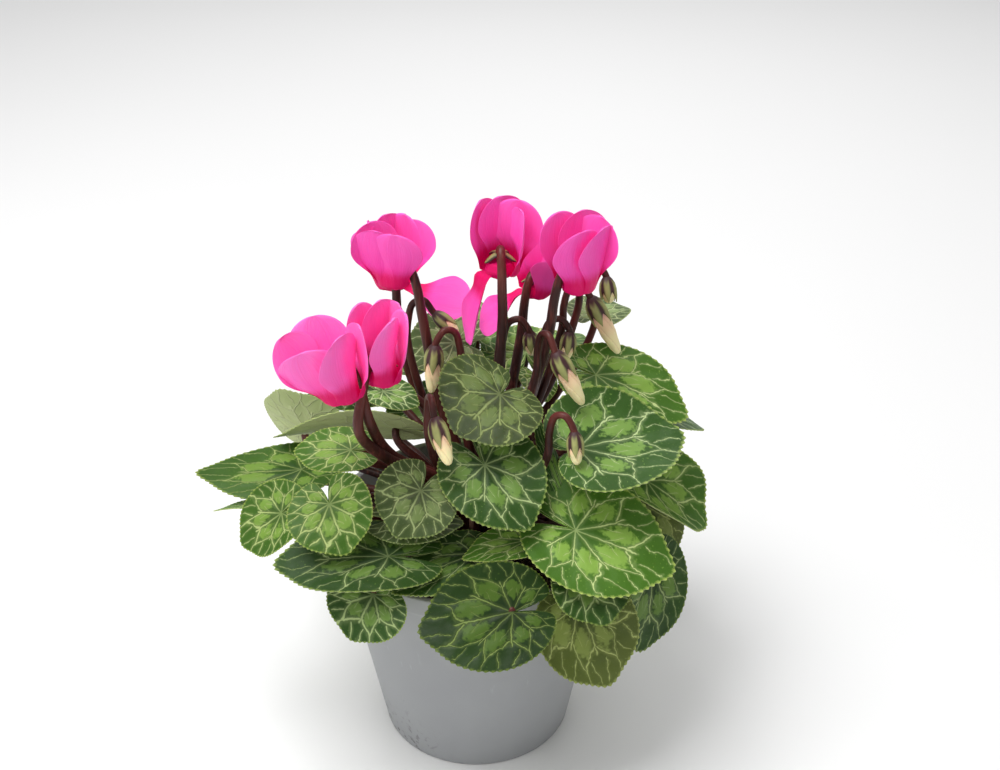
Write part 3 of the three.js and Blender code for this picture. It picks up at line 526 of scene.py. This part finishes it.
class Blade:
    """One leaf's shape. Its own axes run along its midrib, across it and up out of its face."""

    def __init__(self, hub, tip, face, shape):
        self.__dict__.update(USUAL_LEAF, **shape)
        self.hub = np.array(hub, float)
        chord = np.array(tip) - self.hub
        half_curl = np.radians(self.curl) / 2
        self.length = np.linalg.norm(chord) * half_curl / np.sin(half_curl)
        straight = unit(chord)
        self.across = unit(np.cross(face, straight))
        self.along = np.cos(half_curl) * straight - np.sin(half_curl) * np.cross(self.across, straight)
        self.normal = np.cross(self.along, self.across)

    def outline(self, angle):
        """The margin's distance from the stalk as a share of the length: a heart with a pointed tip at
        angle 0, rear lobes and a narrow notch behind. The tip and the notch are bell curves."""
        turn = np.abs(np.degrees(np.arctan2(np.sin(angle), np.cos(angle))))
        heart = 0.8 + 0.1 * np.cos(angle) + 0.1 * np.exp(-((turn / TIP_SPREAD) ** 2))
        rear = 1 + (self.back - 1) * ((1 - np.cos(angle)) / 2) ** 2
        return heart * rear * (1 - NOTCH_DEPTH * np.exp(-(((180 - turn) / NOTCH_SPREAD) ** 2)))

    def middle(self, share, angle):
        """Points of the blade's middle surface, from share 0 at the stalk to 1 at the margin. The flat
        heart is bent across its midrib by cup and along it by curl, its rim waves three times, and its
        teeth stand out only close to the margin."""
        radius = share * self.outline(angle) * self.length
        wave = RIM_WAVE_DEPTH * radius**2 / self.length * np.sin(RIM_WAVES * angle + self.hub[0])
        radius = radius * (1 + TOOTH_DEPTH * (np.cos(MARGIN_TEETH * angle) - 1) * share**14)
        forward, sideways = radius * np.cos(angle), radius * np.sin(angle) * self.wide
        cross_bend = np.radians(self.cup) / (0.8 * self.length)
        long_bend = np.radians(self.curl) / self.length
        y = np.sin(cross_bend * sideways) * (1 / cross_bend - wave)
        z = (1 - np.cos(cross_bend * sideways)) / cross_bend + wave * np.cos(cross_bend * sideways)
        x = np.sin(long_bend * forward) * (1 / long_bend + z)
        height = (np.cos(long_bend * forward) - 1) / long_bend + z * np.cos(long_bend * forward)
        x, y, height = x[..., None], y[..., None], height[..., None]
        return self.hub + self.along * x + self.across * y + self.normal * height

    def surface(self):
        """A closed skin: out over the upper face, round the margin and back under the lower face. The
        face swells a little between the main veins."""
        near = 0.02
        out = np.sin(np.linspace(0, np.pi / 2, BLADE_ROWS))
        share = np.concatenate([out, [1.0], out[::-1]])[:, None]
        side = np.concatenate([np.ones(BLADE_ROWS), [0], -np.ones(BLADE_ROWS)])[:, None]
        angle = full_turn(BLADE_COLUMNS)
        inner = np.maximum(share, 0.05)
        outward = self.middle(inner + near, angle) - self.middle(inner - near, angle)
        around = self.middle(inner, angle + near) - self.middle(inner, angle - near)
        normal = unit(np.cross(outward, around))
        normal[(share < 0.03)[:, 0]] = self.normal
        swell = FIELD_SWELL * np.sin(MAIN_VEINS * angle / 2) ** 2 * np.sin(np.pi * share) ** 2
        thick = 0.5 * BLADE_THICKNESS * side * (1 - 0.5 * share**6) + swell
        points = self.middle(share, angle) + normal * thick[..., None]
        under_side = (np.arange(len(share) - 1) >= BLADE_ROWS).astype(int)
        return points, uv_grid(angle / (2 * np.pi), share), under_side

    def petiole(self):
        """The stalk's centreline: a cubic curve up from the corm, outward and squarely into the blade. The
        higher the blade, the nearer its stalk stands to the corm's middle."""
        end = self.hub - self.normal * 0.2
        foot = corm_point(np.clip(15 - (end[2] - CORM_CENTRE_HEIGHT) / 9, 7, 14), end)
        rise = foot + (0, 0, self.rise * (end[2] - foot[2]) + 4)
        under = end - self.normal * 0.25 * np.linalg.norm(end - foot) + (0, 0, self.lift)
        t = np.linspace(0, 1, 33)[:, None]
        return (1 - t) ** 3 * foot + 3 * t * (1 - t) ** 2 * rise + 3 * t**2 * (1 - t) * under + t**3 * end


def corm_point(distance, towards):
    """A stalk's foot: sunk a little into the corm's top, at a distance from its axis towards a place."""
    bearing = np.arctan2(towards[1], towards[0])
    height = CORM_HALF_HEIGHT * np.sqrt(1 - (distance / CORM_RADIUS) ** 2) - STALK_SINK
    return np.array([distance * np.cos(bearing), distance * np.sin(bearing), CORM_CENTRE_HEIGHT + height])


def capped(points, uv):
    """Closes a grid at both ends with a row drawn in to the middle of the end row."""
    ends = [np.broadcast_to(points[i].mean(0), points[i].shape)[None] for i in (0, -1)]
    return np.concatenate([ends[0], points, ends[1]]), np.concatenate([uv[:1], uv, uv[-1:]])


def stalk_surface(path, radii, sideways, sides=14):
    """A round stalk: a circle of the given radius across the path at each of its points. sideways is a
    direction that the path never follows."""
    tangent = unit(np.gradient(path, axis=0))
    first = unit(sideways - tangent * (tangent @ sideways)[:, None])
    second = np.cross(tangent, first)
    turn = full_turn(sides)[None, :, None]
    ring = first[:, None] * np.cos(turn) + second[:, None] * np.sin(turn)
    points = path[:, None] + ring * np.asarray(radii)[:, None, None]
    uv = uv_grid(turn[..., 0] / (2 * np.pi), np.linspace(0, 1, len(path))[:, None])
    return (*capped(points, uv), 0)


def stalk_looks(start):
    """Dark red-brown with soft clouds and fine upright streaks."""
    place = start.place()
    cloud, fine = place.noise(45, 2), place.noise(700, 3)
    streak = start.node("Mapping", None, {"Vector": place, "Scale": (1, 1, 0.1)}).noise(900, 2)
    dark = cloud.step(0.35, 0.7).blend("#30120f", "#5a261f")
    return {
        "Base Color": (streak.step(0.5, 0.75) * 0.5).blend(dark, "#763f37"),
        "Roughness": 0.34 + fine * 0.2,
        "Height": fine * 0.06 + streak * 0.08,
    }


def vein_net(start):
    """The veins, from 0 between them to 1 on them, with the share out from the stalk, the share across half
    a sector, the bearing as a share of a turn, and the place. The leaf is cut into equal sectors with a
    main vein down the middle of each. A line of the net is given by its share across (0 on the main vein,
    1 at the sector's edge) at each share out, and its half width in millimetres; a faint haze lies along
    it. A main vein forks, and its arms swing over to the sector's edges, where one vein runs on to the
    margin. Twigs bend inward from the arms, and fainter side veins leave the main vein lower down."""
    uv = start.node("UVMap")
    out, place = uv.part("Y"), start.place()
    length = start.node("Attribute", {"attribute_name": "blade_length"}, output=2)
    drift, wobble, ragged = place.noise(70, 1) - 0.5, place.noise(330, 2) - 0.5, place.noise(1300, 2) - 0.5
    sector = uv.part("X") * MAIN_VEINS + 0.5 + drift * 0.7 * out + wobble * 0.2
    across = sector.swing()
    bent = out + drift * 0.12 + wobble * 0.06
    scale = out * length * (0.85 * np.pi / MAIN_VEINS)

    def line(position, width, low=-1.0, high=2.0):
        """1 on a line of the net between two shares out, fading to 0 beside it."""
        away = (across - position).size() * scale + ragged * 0.25
        near = away.step(width, 0.3 * width) + away.step(4 * width, 0.5 * width) * 0.22
        return near * bent.step(low - 0.015, low + 0.015) * bent.step(high + 0.03, high - 0.03)

    def climb(low, high, reach):
        """A share across that grows from 0 to reach as the share out goes from low to high."""
        return bent.step(low - 0.15 * (high - low), high) * reach

    net = line(0.0, 0.42, high=0.6).larger(line(climb(0.46, 0.86, 1.0), 0.4, 0.5, 0.87))
    net = net.larger(line(0.5 - climb(0.7, 0.96, 0.25), 0.26, 0.7, 0.96))
    net = net.larger(line(1.0, 0.3, 0.86)).larger(line(climb(0.26, 0.52, 0.8), 0.25, 0.28, 0.5) * 0.4)
    return net * (0.35 + out.step(0.02, 0.45) * 0.65), out, across, uv.part("X"), place


def leaf_looks(field, shade, blotch, vein, margin):
    """The upper face: a green field with a darker middle, feathery pale blotches between the main veins,
    the vein net and a thin light margin. Leaves that lie in shadow are then multiplied towards a grey-green
    by their dark share, as painted shade."""

    def looks(start):
        net, out, across, bearing, place = vein_net(start)
        cloud, fine = place.noise(55, 2), place.noise(520, 3)
        green = (out.step(0.5, 0.1) * 0.6 + cloud.step(0.3, 0.75) * 0.5).blend(field, shade)
        feather = place.noise(650, 3) - 0.5
        far_out, far_across = (out - 0.47) / 0.2, (1 - across) / 0.8
        spread = (far_out * far_out + far_across * far_across) ** 0.5 + feather * 1.4 + (cloud - 0.5) * 0.8
        patch = spread.step(1.1, 0.7)
        specks = place.noise(1100, 2).step(0.66, 0.72) * out.step(0.45, 0.75) * 0.5
        blotched = (patch * 0.85).larger(specks).blend(green, blotch)
        veined = (net * (0.7 + cloud * 0.4)).blend(blotched, vein)
        tip = (bearing * MARGIN_TEETH).swing()
        edge = out.step(0.975, 0.995) * 0.45 + out.step(0.95, 0.975) * tip.step(0.3, 0.8) * 0.55
        # Painted shade: the leaf's dark share multiplies all its colours towards a grey-green.
        dark = start.node("Attribute", {"attribute_name": "dark"}, output=2)
        shaded = {0: dark, 6: edge.blend(veined, margin), 7: screen_colour("#a6ac84")}
        return {
            "Base Color": start.node("Mix", {"data_type": "RGBA", "blend_type": "MULTIPLY"}, shaded, 2),
            "Roughness": 0.4 + fine * 0.2 + net * 0.06,
            "Height": fine * 0.12 - net * 0.25 + place.noise(130, 1) * 1.2,
        }

    return looks


def underside_looks(start):
    """Pale yellow-green with its veins standing up from it."""
    net, *_, place = vein_net(start)
    cloud, fine = place.noise(60, 2), place.noise(600, 3)
    pale = cloud.blend("#a2b070", "#bac68e")
    return {
        "Base Color": (net * 0.45).blend(pale, "#c6cc9c"),
        "Roughness": 0.55 + fine * 0.15,
        "Height": fine * 0.08 + net * 0.3,
    }


stalk_brown = finish_of("stalk_brown", stalk_looks, {"Specular IOR Level": 0.3})
leaf_greens = {
    tone: finish_of("leaf_" + tone, leaf_looks(*colours), {"Specular IOR Level": 0.22})
    for tone, colours in {
        "deep": ("#34571a", "#1e3b0e", "#769946", "#b4c88c", "#9cb05c"),
        "bright": ("#466f1b", "#2e5210", "#86aa48", "#bcce86", "#a8ba5e"),
        "grey": ("#4c6030", "#333f20", "#869c5e", "#b2c28a", "#a0b26c"),
        "olive": ("#525f22", "#3a4818", "#7e8e44", "#a2ae66", "#9aa65c"),
    }.items()
}
leaf_under = finish_of("leaf_under", underside_looks)
petioles = []
for number, (tone, hub, tip, face, shape) in enumerate(LEAVES, 1):
    leaf = Blade(hub, tip, face, shape)
    skins = [leaf_greens[tone], leaf_under]
    solids = [f"leaf_{number:02d}"] if number <= SOLID_LEAVES else []
    blade = build(f"leaf_blade_{number:02d}", [leaf.surface()], skins, "leaf_" + tone, *solids)
    for title, value in (("blade_length", leaf.length), ("dark", leaf.dark)):
        values = blade.data.attributes.new(title, "FLOAT", "POINT").data
        values.foreach_set("value", np.full(len(values), value))
    path = leaf.petiole()
    radii = np.linspace(PETIOLE_FOOT_RADIUS, PETIOLE_RADIUS, len(path))
    petioles.append(stalk_surface(path, radii, unit(np.array([-hub[1], hub[0], 0]))))
build("leaf_stalks", petioles, [stalk_brown], "stalk", "corm_and_stalks")


# The flowers: each hangs from a crooked stalk with its small mouth down. Its five broad petals grow from a
# short cup and are swept up and lightly twisted, and five small green sepals lie over the cup.

# A row is one flower: the middle of its mouth, the way it leans over, the bearing of the gap that its stalk
# comes up through, each petal's angle above level, and what is unusual, such as each petal's twist in
# radians.
FLOWERS = [
    ((-26, 6, 180), (-0.05, -0.05), -10, (84, 86, 86, 86, 82),
     {"size": 0.9, "twists": (-0.15, 0.5, -0.8, 0.5, -0.5)}),
    ((-29, 34, 165), (0, 0.05), -80, (-10, 80, 82, 80, 82), {"size": 0.95}),
    ((-39, -46, 166), (-0.14, 0), 60, (75, 66, 70, 84, 82),
     {"twists": (-0.5, -0.5, 0.6, 0.6, 0.6), "via": (-27, -22, 129), "pink": "light"}),
    ((-29, -34, 165), (0.08, 0.05), -130, (85, 89, 89, 88, 84),
     {"twists": (0.8, 0.5, -0.37, 0.6, -0.17), "via": (-28, -27, 131), "pink": "light"}),
    ((9, 6, 184), (0, -0.1), -85, (86, 86, 88, 86, -75), {"twists": (0.6, 0.5, 0.6, 0, 0.25)}),
    ((21, 30, 164), (0.05, 0), -120, (62, 70, 88, 84, -50),
     {"size": 0.85, "twists": (-0.5, 0.6, 0.6, -0.5, -0.5)}),
    ((34, 0, 181), (0.05, -0.05), -150, (86, 85, 86, 85, 82), {"twists": (0.6, -0.1, 0.3, 0.6, -0.2)}),
]
PETALS = SEPALS = 5
PETAL_LENGTH, PETAL_HALF_WIDTH, PETAL_THICKNESS, PETAL_ROWS = 26.5, 10, 0.5, 40
PETAL_DROOP, PETAL_BOW, USUAL_TWIST = 25, 6, 0.6
PETAL_BEARINGS = (62, 120, 178, 235, 292)
SEPAL_LENGTH, SEPAL_HALF_WIDTH, SEPAL_THICKNESS, CALYX_HEIGHT = 5, 2.1, 0.6, 7.9
FLOWER_STALK_RADIUS, FLOWER_STALK_FOOT_RADIUS = 1.45, 2.3

# Distances from the flower's middle and heights above its mouth: the cup's outline, and the crook of the
# stalk, from below the petals up and over to the cup.
MOUTH_RADIUS = 4.6
CUP_PROFILE = [(0, 3.4), (2.4, 2.6), (3.2, 0.1), (4.4, -0.1), (5.0, 2.4), (4, 4.9), (0, 5.2)]
FLOWER_CROOK = [(9, -14), (8, -2), (6.6, 5), (4.6, 9), (2.6, 10.4), (0.6, 9.2), (0, 7.2)]


def smooth_step(value, low, high):
    """0 up to low and 1 from high on, with a smooth rise between them."""
    share = np.clip((value - low) / (high - low), 0, 1)
    return share * share * (3 - 2 * share)


def smooth_path(points, count):
    """A smooth path through a few points: cubic spans whose slope at each point comes from its two
    neighbours, timed by the square roots of the distances."""
    points = np.array(points, float)
    knots = np.append(0, np.cumsum(np.linalg.norm(np.diff(points, axis=0), axis=1) ** 0.5))
    slopes = np.gradient(points, knots, axis=0)
    time = np.linspace(0, knots[-1], count)
    i = np.clip(np.searchsorted(knots, time, side="right") - 1, 0, len(points) - 2)
    span = (knots[i + 1] - knots[i])[:, None]
    s = (time - knots[i])[:, None] / span
    return (
        (2 * s**3 - 3 * s**2 + 1) * points[i] + (3 * s**2 - 2 * s**3) * points[i + 1]
        + span * ((s**3 - 2 * s**2 + s) * slopes[i] + (s**3 - s**2) * slopes[i + 1])
    )


def thin_sheet(share, spine, tangent, across, half, belly, thickness, columns=36):
    """A thin closed sheet: at each share along the spine a lens section, half wide each way along across
    and as thick as given. belly(w) sets its middle off from the spine at each share w across, from -1
    to 1. Its UV is the share across and the share along."""
    turn = full_turn(columns)
    w = np.cos(turn)
    level = (half[:, None] * w)[..., None]
    off = (belly(w) + 0.5 * thickness * np.sin(turn))[..., None]
    points = spine[:, None] + across[:, None] * level + np.cross(tangent, across)[:, None] * off
    return capped(points, uv_grid(0.5 + 0.5 * w, share[:, None]))


class Flower:
    """One flower's axes: up its middle, towards the gap for its stalk (out), and across that (side)."""

    def __init__(self, mouth, lean, gap, raises, more):
        self.mouth, self.raises = np.array(mouth, float), raises
        self.size, self.via = more.get("size", 1), more.get("via")
        self.twists = more.get("twists", (USUAL_TWIST,) * PETALS)
        self.up = unit(np.array([*lean, 1.0]))
        level = np.array([np.cos(np.radians(gap)), np.sin(np.radians(gap)), 0])
        self.out = unit(level - self.up * (level @ self.up))
        self.side = np.cross(self.up, self.out)

    def directions(self, bearing):
        """The directions straight out from the flower's middle at a bearing from the gap, and across it."""
        outward = self.out * np.cos(bearing) + self.side * np.sin(bearing)
        return outward, self.side * np.cos(bearing) - self.out * np.sin(bearing)

    def at(self, bearing, distance, height):
        """The point at a bearing from the gap, a distance from the flower's middle and a height."""
        bearing, distance, height = (np.asarray(v, float)[..., None] for v in (bearing, distance, height))
        return self.mouth + self.size * (self.directions(bearing)[0] * distance + self.up * height)

    def petal(self, index, steps=120):
        """A petal's midline leaves the mouth outward and down, turns sharply to its raised angle and
        keeps a slight bow: its slope is added up in fine steps. The sheet round it widens at once to close
        the ring at the mouth, then again to its broad round top; it is twisted about its midline, its
        edges wrap inward as on a cylinder, and it has soft lengthwise folds."""
        bearing = np.radians(PETAL_BEARINGS[index])
        radial, sideways = self.directions(bearing)
        fine = (np.arange(steps) + 0.5) / steps
        lift = (self.raises[index] + PETAL_DROOP) * smooth_step(fine, 0, 0.15)
        turn = np.radians(-PETAL_DROOP + lift + PETAL_BOW * np.maximum(fine - 0.4, 0))
        step = PETAL_LENGTH / steps
        share = np.sin(np.linspace(0, np.pi / 2, PETAL_ROWS))

        def run(part):
            return np.interp(share, np.append(0, fine), np.append(0, np.cumsum(step * part)))

        spine = self.at(bearing, MOUTH_RADIUS - 0.6 + run(np.cos(turn)), 0.9 + run(np.sin(turn)))
        slope = np.interp(share, fine, turn)[:, None]
        tangent = radial * np.cos(slope) + self.up * np.sin(slope)
        twist = self.twists[index] * smooth_step(share, 0.05, 0.5)[:, None]
        across = sideways * np.cos(twist) + np.cross(tangent, sideways) * np.sin(twist)
        ring = 2.6 + 1.6 * smooth_step(share, 0, 0.12)
        broad = ring + (PETAL_HALF_WIDTH - ring) * smooth_step(share, 0.2, 0.68)
        tip = np.clip((share - 0.62) / 0.38, 0, 1)
        half = self.size * broad * np.sqrt(np.maximum(1 - tip**2.4, 0))
        phase = 2.1 * index + self.mouth[0]

        def belly(w):
            along = share[:, None]
            wrap = (half[:, None] * w) ** 2 / (13 + 44 * smooth_step(along, 0.1, 0.9))
            folds = 0.14 * np.sin(9 * w + phase) * np.sin(np.pi * along)
            return wrap + folds + 0.5 * along**2 * np.sin(2.6 * w + 3 * along + phase) * w**2

        return (*thin_sheet(share, spine, tangent, across, half, belly, PETAL_THICKNESS), 0)

    def tube(self):
        """The short cup at the flower's middle: a turned profile whose lip has five low lobes."""
        profile = rounded(CUP_PROFILE, 0.5)
        turn = full_turn(60)
        radius, height = profile[:, :1], profile[:, 1:]
        radius = radius * (1 + 0.05 * np.cos(PETALS * turn))
        uv = uv_grid(turn / (2 * np.pi), 0.02 + 0 * height)
        return self.at(turn + 0 * radius, radius, height + 0 * turn), uv, 0

    def calyx(self, index):
        """One pointed sepal of the star over the cup: its midline bends down as a parabola, and its sides
        fold down a little."""
        share = np.linspace(0, 1, 14)
        bearing = index * 2 * np.pi / SEPALS
        spine = self.at(bearing, 0.4 + SEPAL_LENGTH * share, CALYX_HEIGHT - 2.9 * share**2)
        tangent = unit(np.gradient(spine, axis=0))
        across = np.broadcast_to(self.directions(bearing)[1], spine.shape)
        half = self.size * SEPAL_HALF_WIDTH * np.sqrt(np.maximum(1 - share**1.7, 0)) * (0.6 + 0.4 * share)

        def belly(w):
            return -0.35 * half[:, None] * w**2

        return (*thin_sheet(share, spine, tangent, across, half, belly, SEPAL_THICKNESS, 16), 1)

    def stalk(self):
        """Up from the corm to the gap between two petals, then over in a crook and down on to the cup."""
        crook = [self.at(0, *place) for place in FLOWER_CROOK]
        low = crook[0]
        foot = corm_point(min(9, np.hypot(low[0], low[1]) / 5), low)
        rise = foot + (0.12 * (low[0] - foot[0]), 0.12 * (low[1] - foot[1]), 26)
        via = np.array(self.via) if self.via else foot + 0.62 * (low - foot)
        path = smooth_path([foot, rise, via, *crook], 72)
        taper = np.minimum(np.linspace(0, 1.2, len(path)), 1)
        radii = FLOWER_STALK_FOOT_RADIUS + (FLOWER_STALK_RADIUS - FLOWER_STALK_FOOT_RADIUS) * taper
        return stalk_surface(path, radii, self.side)


def petal_looks(body, light):
    """Pink that is deepest in a band round the mouth and pales to the tip, with fine lengthwise lines. The
    same colour is given off faintly as emission: a painted glow for light shining through the petals.
    """

    def looks(start):
        uv, place = start.node("UVMap"), start.place()
        out, side = uv.part("Y"), (uv.part("X") - 0.5).size() * 2
        streak = start.node("Mapping", None, {"Vector": uv, "Scale": (34, 1.6, 1)}).noise(1, 3)
        cloud = place.noise(60, 2)
        pink = (out * 0.6 + cloud * 0.5 + side * 0.15).step(0.2, 1.1).blend(body, light)
        lined = (streak.step(0.5, 0.8) * 0.22).blend(pink, "#e02590")
        ringed = (out + (streak - 0.5) * 0.14).step(0.46, 0.24).blend(lined, "#d80062")
        return {
            "Base Color": ringed,
            "Emission Color": ringed,
            "Roughness": 0.5 + cloud * 0.15,
            "Height": streak * 0.2,
        }

    return looks


def sepal_looks(start):
    """Mottled dull green, dark brown-red at the edges and the foot."""
    uv, place = start.node("UVMap"), start.place()
    side, cloud = (uv.part("X") - 0.5).size() * 2, place.noise(400, 2)
    green = cloud.blend("#7f864a", "#acac6c")
    edge = (side + cloud * 0.4).step(0.5, 1.0).larger(uv.part("Y").step(0.4, 0.1))
    return {
        "Base Color": edge.blend(green, "#3c1c1e"),
        "Roughness": 0.5 + cloud * 0.15,
        "Height": cloud * 0.1,
    }


# The petals' fixed inputs: a little subsurface scattering, and a faint emission that is a painted glow for
# light shining through the thin petals.
PETAL_GLOW = {
    "Subsurface Weight": 0.3,
    "Subsurface Radius": (0.004, 0.001, 0.002),
    "Emission Strength": 0.1,
    "Specular IOR Level": 0.25,
}
petal_pinks = {
    "deep": finish_of("petal_deep", petal_looks("#f232a4", "#f862c0"), PETAL_GLOW),
    "light": finish_of("petal_light", petal_looks("#fb48ac", "#ff78ca"), PETAL_GLOW),
}
sepal_green = finish_of("sepal_green", sepal_looks)
flower_stalks = []
for number, (mouth, lean, gap, raises, more) in enumerate(FLOWERS, 1):
    flower = Flower(mouth, lean, gap, raises, more)
    corolla = [flower.tube(), *(flower.petal(i) for i in range(PETALS))]
    pink = petal_pinks[more.get("pink", "deep")]
    build(f"corolla_{number}", corolla, [pink], "petal", f"flower_{number}")
    flower_stalks += [flower.stalk(), *(flower.calyx(i) for i in range(SEPALS))]
build("flower_stalks", flower_stalks, [stalk_brown, sepal_green], "stalk", "corm_and_stalks")


# The buds: cream petals furled in a pointed spiral, held in a dark-edged cup of five sepals on a crooked
# stalk that grows from the corm.

# A row is one bud: where its cup starts, the way its tip points, the side that its stalk comes up on, the
# length of its petals below the cup and its size.
BUDS = [
    ((-14, 14, 165), (0.9, -0.3, -0.7), (-1, 0.1), 4, 0.85),
    ((-13, 0, 160), (-0.1, -0.1, -1), (0.9, 0.4), 10, 1),
    ((-12, -36, 153), (0.35, -0.55, -1), (-0.3, 1), 8, 1),
    ((40, 12, 172), (0.5, -0.1, -1), (-1, 0), 15, 1.05),
    ((27, -16, 166), (0.5, -0.1, -1), (-0.6, 0.8), 13, 1.05),
    ((33, 8, 161), (-0.1, -0.1, -1), (-1, 0), 4, 0.85),
    ((46, 22, 175), (0.15, -0.4, -1), (-1, 0), 2, 0.9),
    ((33, -34, 146.5), (0.1, -0.3, -1), (-0.85, 0.5), 4.5, 0.85),
    ((19, 2, 164), (0.1, 0.2, -1), (-1, 0), 4, 0.8),
]
HIDDEN_LENGTH, PETALS_START, BUD_CUP_WALL = 4.2, 4, 0.45
BUD_STALK_RADIUS, BUD_STALK_FOOT_RADIUS = 1.2, 1.9

# The radius of the furled petals at shares of their length, and of the cup at distances from its start.
BUD_PROFILE = [(0, 2.5), (0.25, 2.9), (0.55, 2.7), (0.85, 1.8), (0.97, 1.0), (1, 0)]
BUD_CUP_PROFILE = [(0, 1.3), (1, 2.1), (2.6, 3.0), (5, 3.4), (7.5, 3.3), (10.5, 2.9)]

# The crook of a bud's stalk: distances to its own side of the cup's start, and heights above it.
BUD_CROOK = [(9.5, -12), (9, -3), (7, 3.4), (3.4, 4.6)]


class Bud:
    """One bud's shape, about a straight axis from its neck along its aim."""

    def __init__(self, neck, aim, crook, length, size):
        self.neck, self.aim = np.array(neck, float), unit(np.array(aim, float))
        self.crook = unit(np.array([*crook, 0.0]))
        self.length, self.size = length, size
        self.first = unit(np.cross(self.aim, [0.3, 0.8, 0.1]))
        self.second = np.cross(self.aim, self.first)

    def around(self, radius, distance, turn):
        """Points at a radius from the axis, a distance along it and a turn about it."""
        level = self.first * np.cos(turn)[..., None] + self.second * np.sin(turn)[..., None]
        return self.neck + level * radius[..., None] + self.aim * distance[..., None]

    def petals(self):
        """A spindle whose five overlapping edges wind round it: its radius steps down once a petal."""
        whole = HIDDEN_LENGTH * self.size + self.length
        share, turn = np.linspace(0, 1, 40)[:, None], full_turn(80)
        body = np.interp(share, *np.transpose(BUD_PROFILE))
        winding = np.mod(PETALS * turn / (2 * np.pi) + 1.6 * share, 1)
        radius = self.size * body * (1 - 0.09 * winding**2 * smooth_step(share, 0.1, 0.4))
        radius[:, -1] = radius[:, 0]
        distance = PETALS_START * self.size + whole * share + 0 * turn
        return self.around(radius, distance, turn + 0 * share), uv_grid(winding, share), 0

    def calyx(self):
        """A cup with five pointed lobes: out along its outer face to a reach that rises and falls with
        the bearing, then back inside."""
        turn = full_turn(100)
        lobe = np.abs(np.mod(SEPALS * turn / (2 * np.pi), 1) - 0.5) * 2
        reach = self.size * (6.0 + 4.2 * lobe**1.4)
        share = np.concatenate([np.linspace(0, 1, 18), np.linspace(1, 0.3, 8)])[:, None]
        inner = np.concatenate([np.zeros(18), np.full(8, BUD_CUP_WALL)])[:, None]
        distance = share * reach
        body = np.interp(distance / self.size, *np.transpose(BUD_CUP_PROFILE))
        ridge = 1 + 0.05 * np.cos(SEPALS * turn) * smooth_step(share, 0.1, 0.5)
        points = self.around(self.size * (body * ridge - inner), distance, turn + 0 * share)
        return (*capped(points, uv_grid(1 - 0.5 * lobe, share)), 1)

    def stalk(self):
        """Up from the corm, over in a crook and into the bud's cup."""
        crook = [self.neck + self.crook * sideways + (0, 0, height) for sideways, height in BUD_CROOK]
        low = crook[0]
        foot = corm_point(min(10, np.hypot(low[0], low[1]) / 4), low)
        rise = foot + (0, 0, 22)
        climb = [foot, rise + 0.15 * (low - rise), foot + 0.65 * (low - foot)]
        path = smooth_path([*climb, *crook, self.neck, self.neck + 2 * self.aim], 64)
        taper = np.minimum(np.linspace(0, 1.25, len(path)), 1)
        radii = BUD_STALK_FOOT_RADIUS + (BUD_STALK_RADIUS - BUD_STALK_FOOT_RADIUS) * taper
        return stalk_surface(path, radii, unit(np.cross(self.crook, [0, 0, 1])))


def bud_looks(start):
    """Cream that warms to pink in the cup, with a brown line where each petal's edge ends."""
    uv, place = start.node("UVMap"), start.place()
    out, fold, cloud = uv.part("Y"), uv.part("X"), place.noise(300, 2)
    cream = out.step(0.75, 0.2).blend("#fbeeb6", "#f4cba6")
    edged = (fold.step(0.8, 1.0) * 0.45).blend(cream, "#c99a6a")
    return {
        "Base Color": (out.step(0.3, 0.05) * 0.8).blend(edged, "#d98a9c"),
        "Roughness": 0.5 + cloud * 0.15,
        "Height": cloud * 0.1,
    }


bud_cream = finish_of(
    "bud_cream", bud_looks, {"Subsurface Weight": 0.2, "Subsurface Radius": (0.003, 0.002, 0.001)})
bud_stalks = []
for number, row in enumerate(BUDS, 1):
    bud = Bud(*row)
    build(f"bud_petals_{number}", [bud.petals()], [bud_cream], "bud", f"bud_{number}")
    bud_stalks += [bud.stalk(), bud.calyx()]
build("bud_stalks", bud_stalks, [stalk_brown, sepal_green], "stalk", "corm_and_stalks")
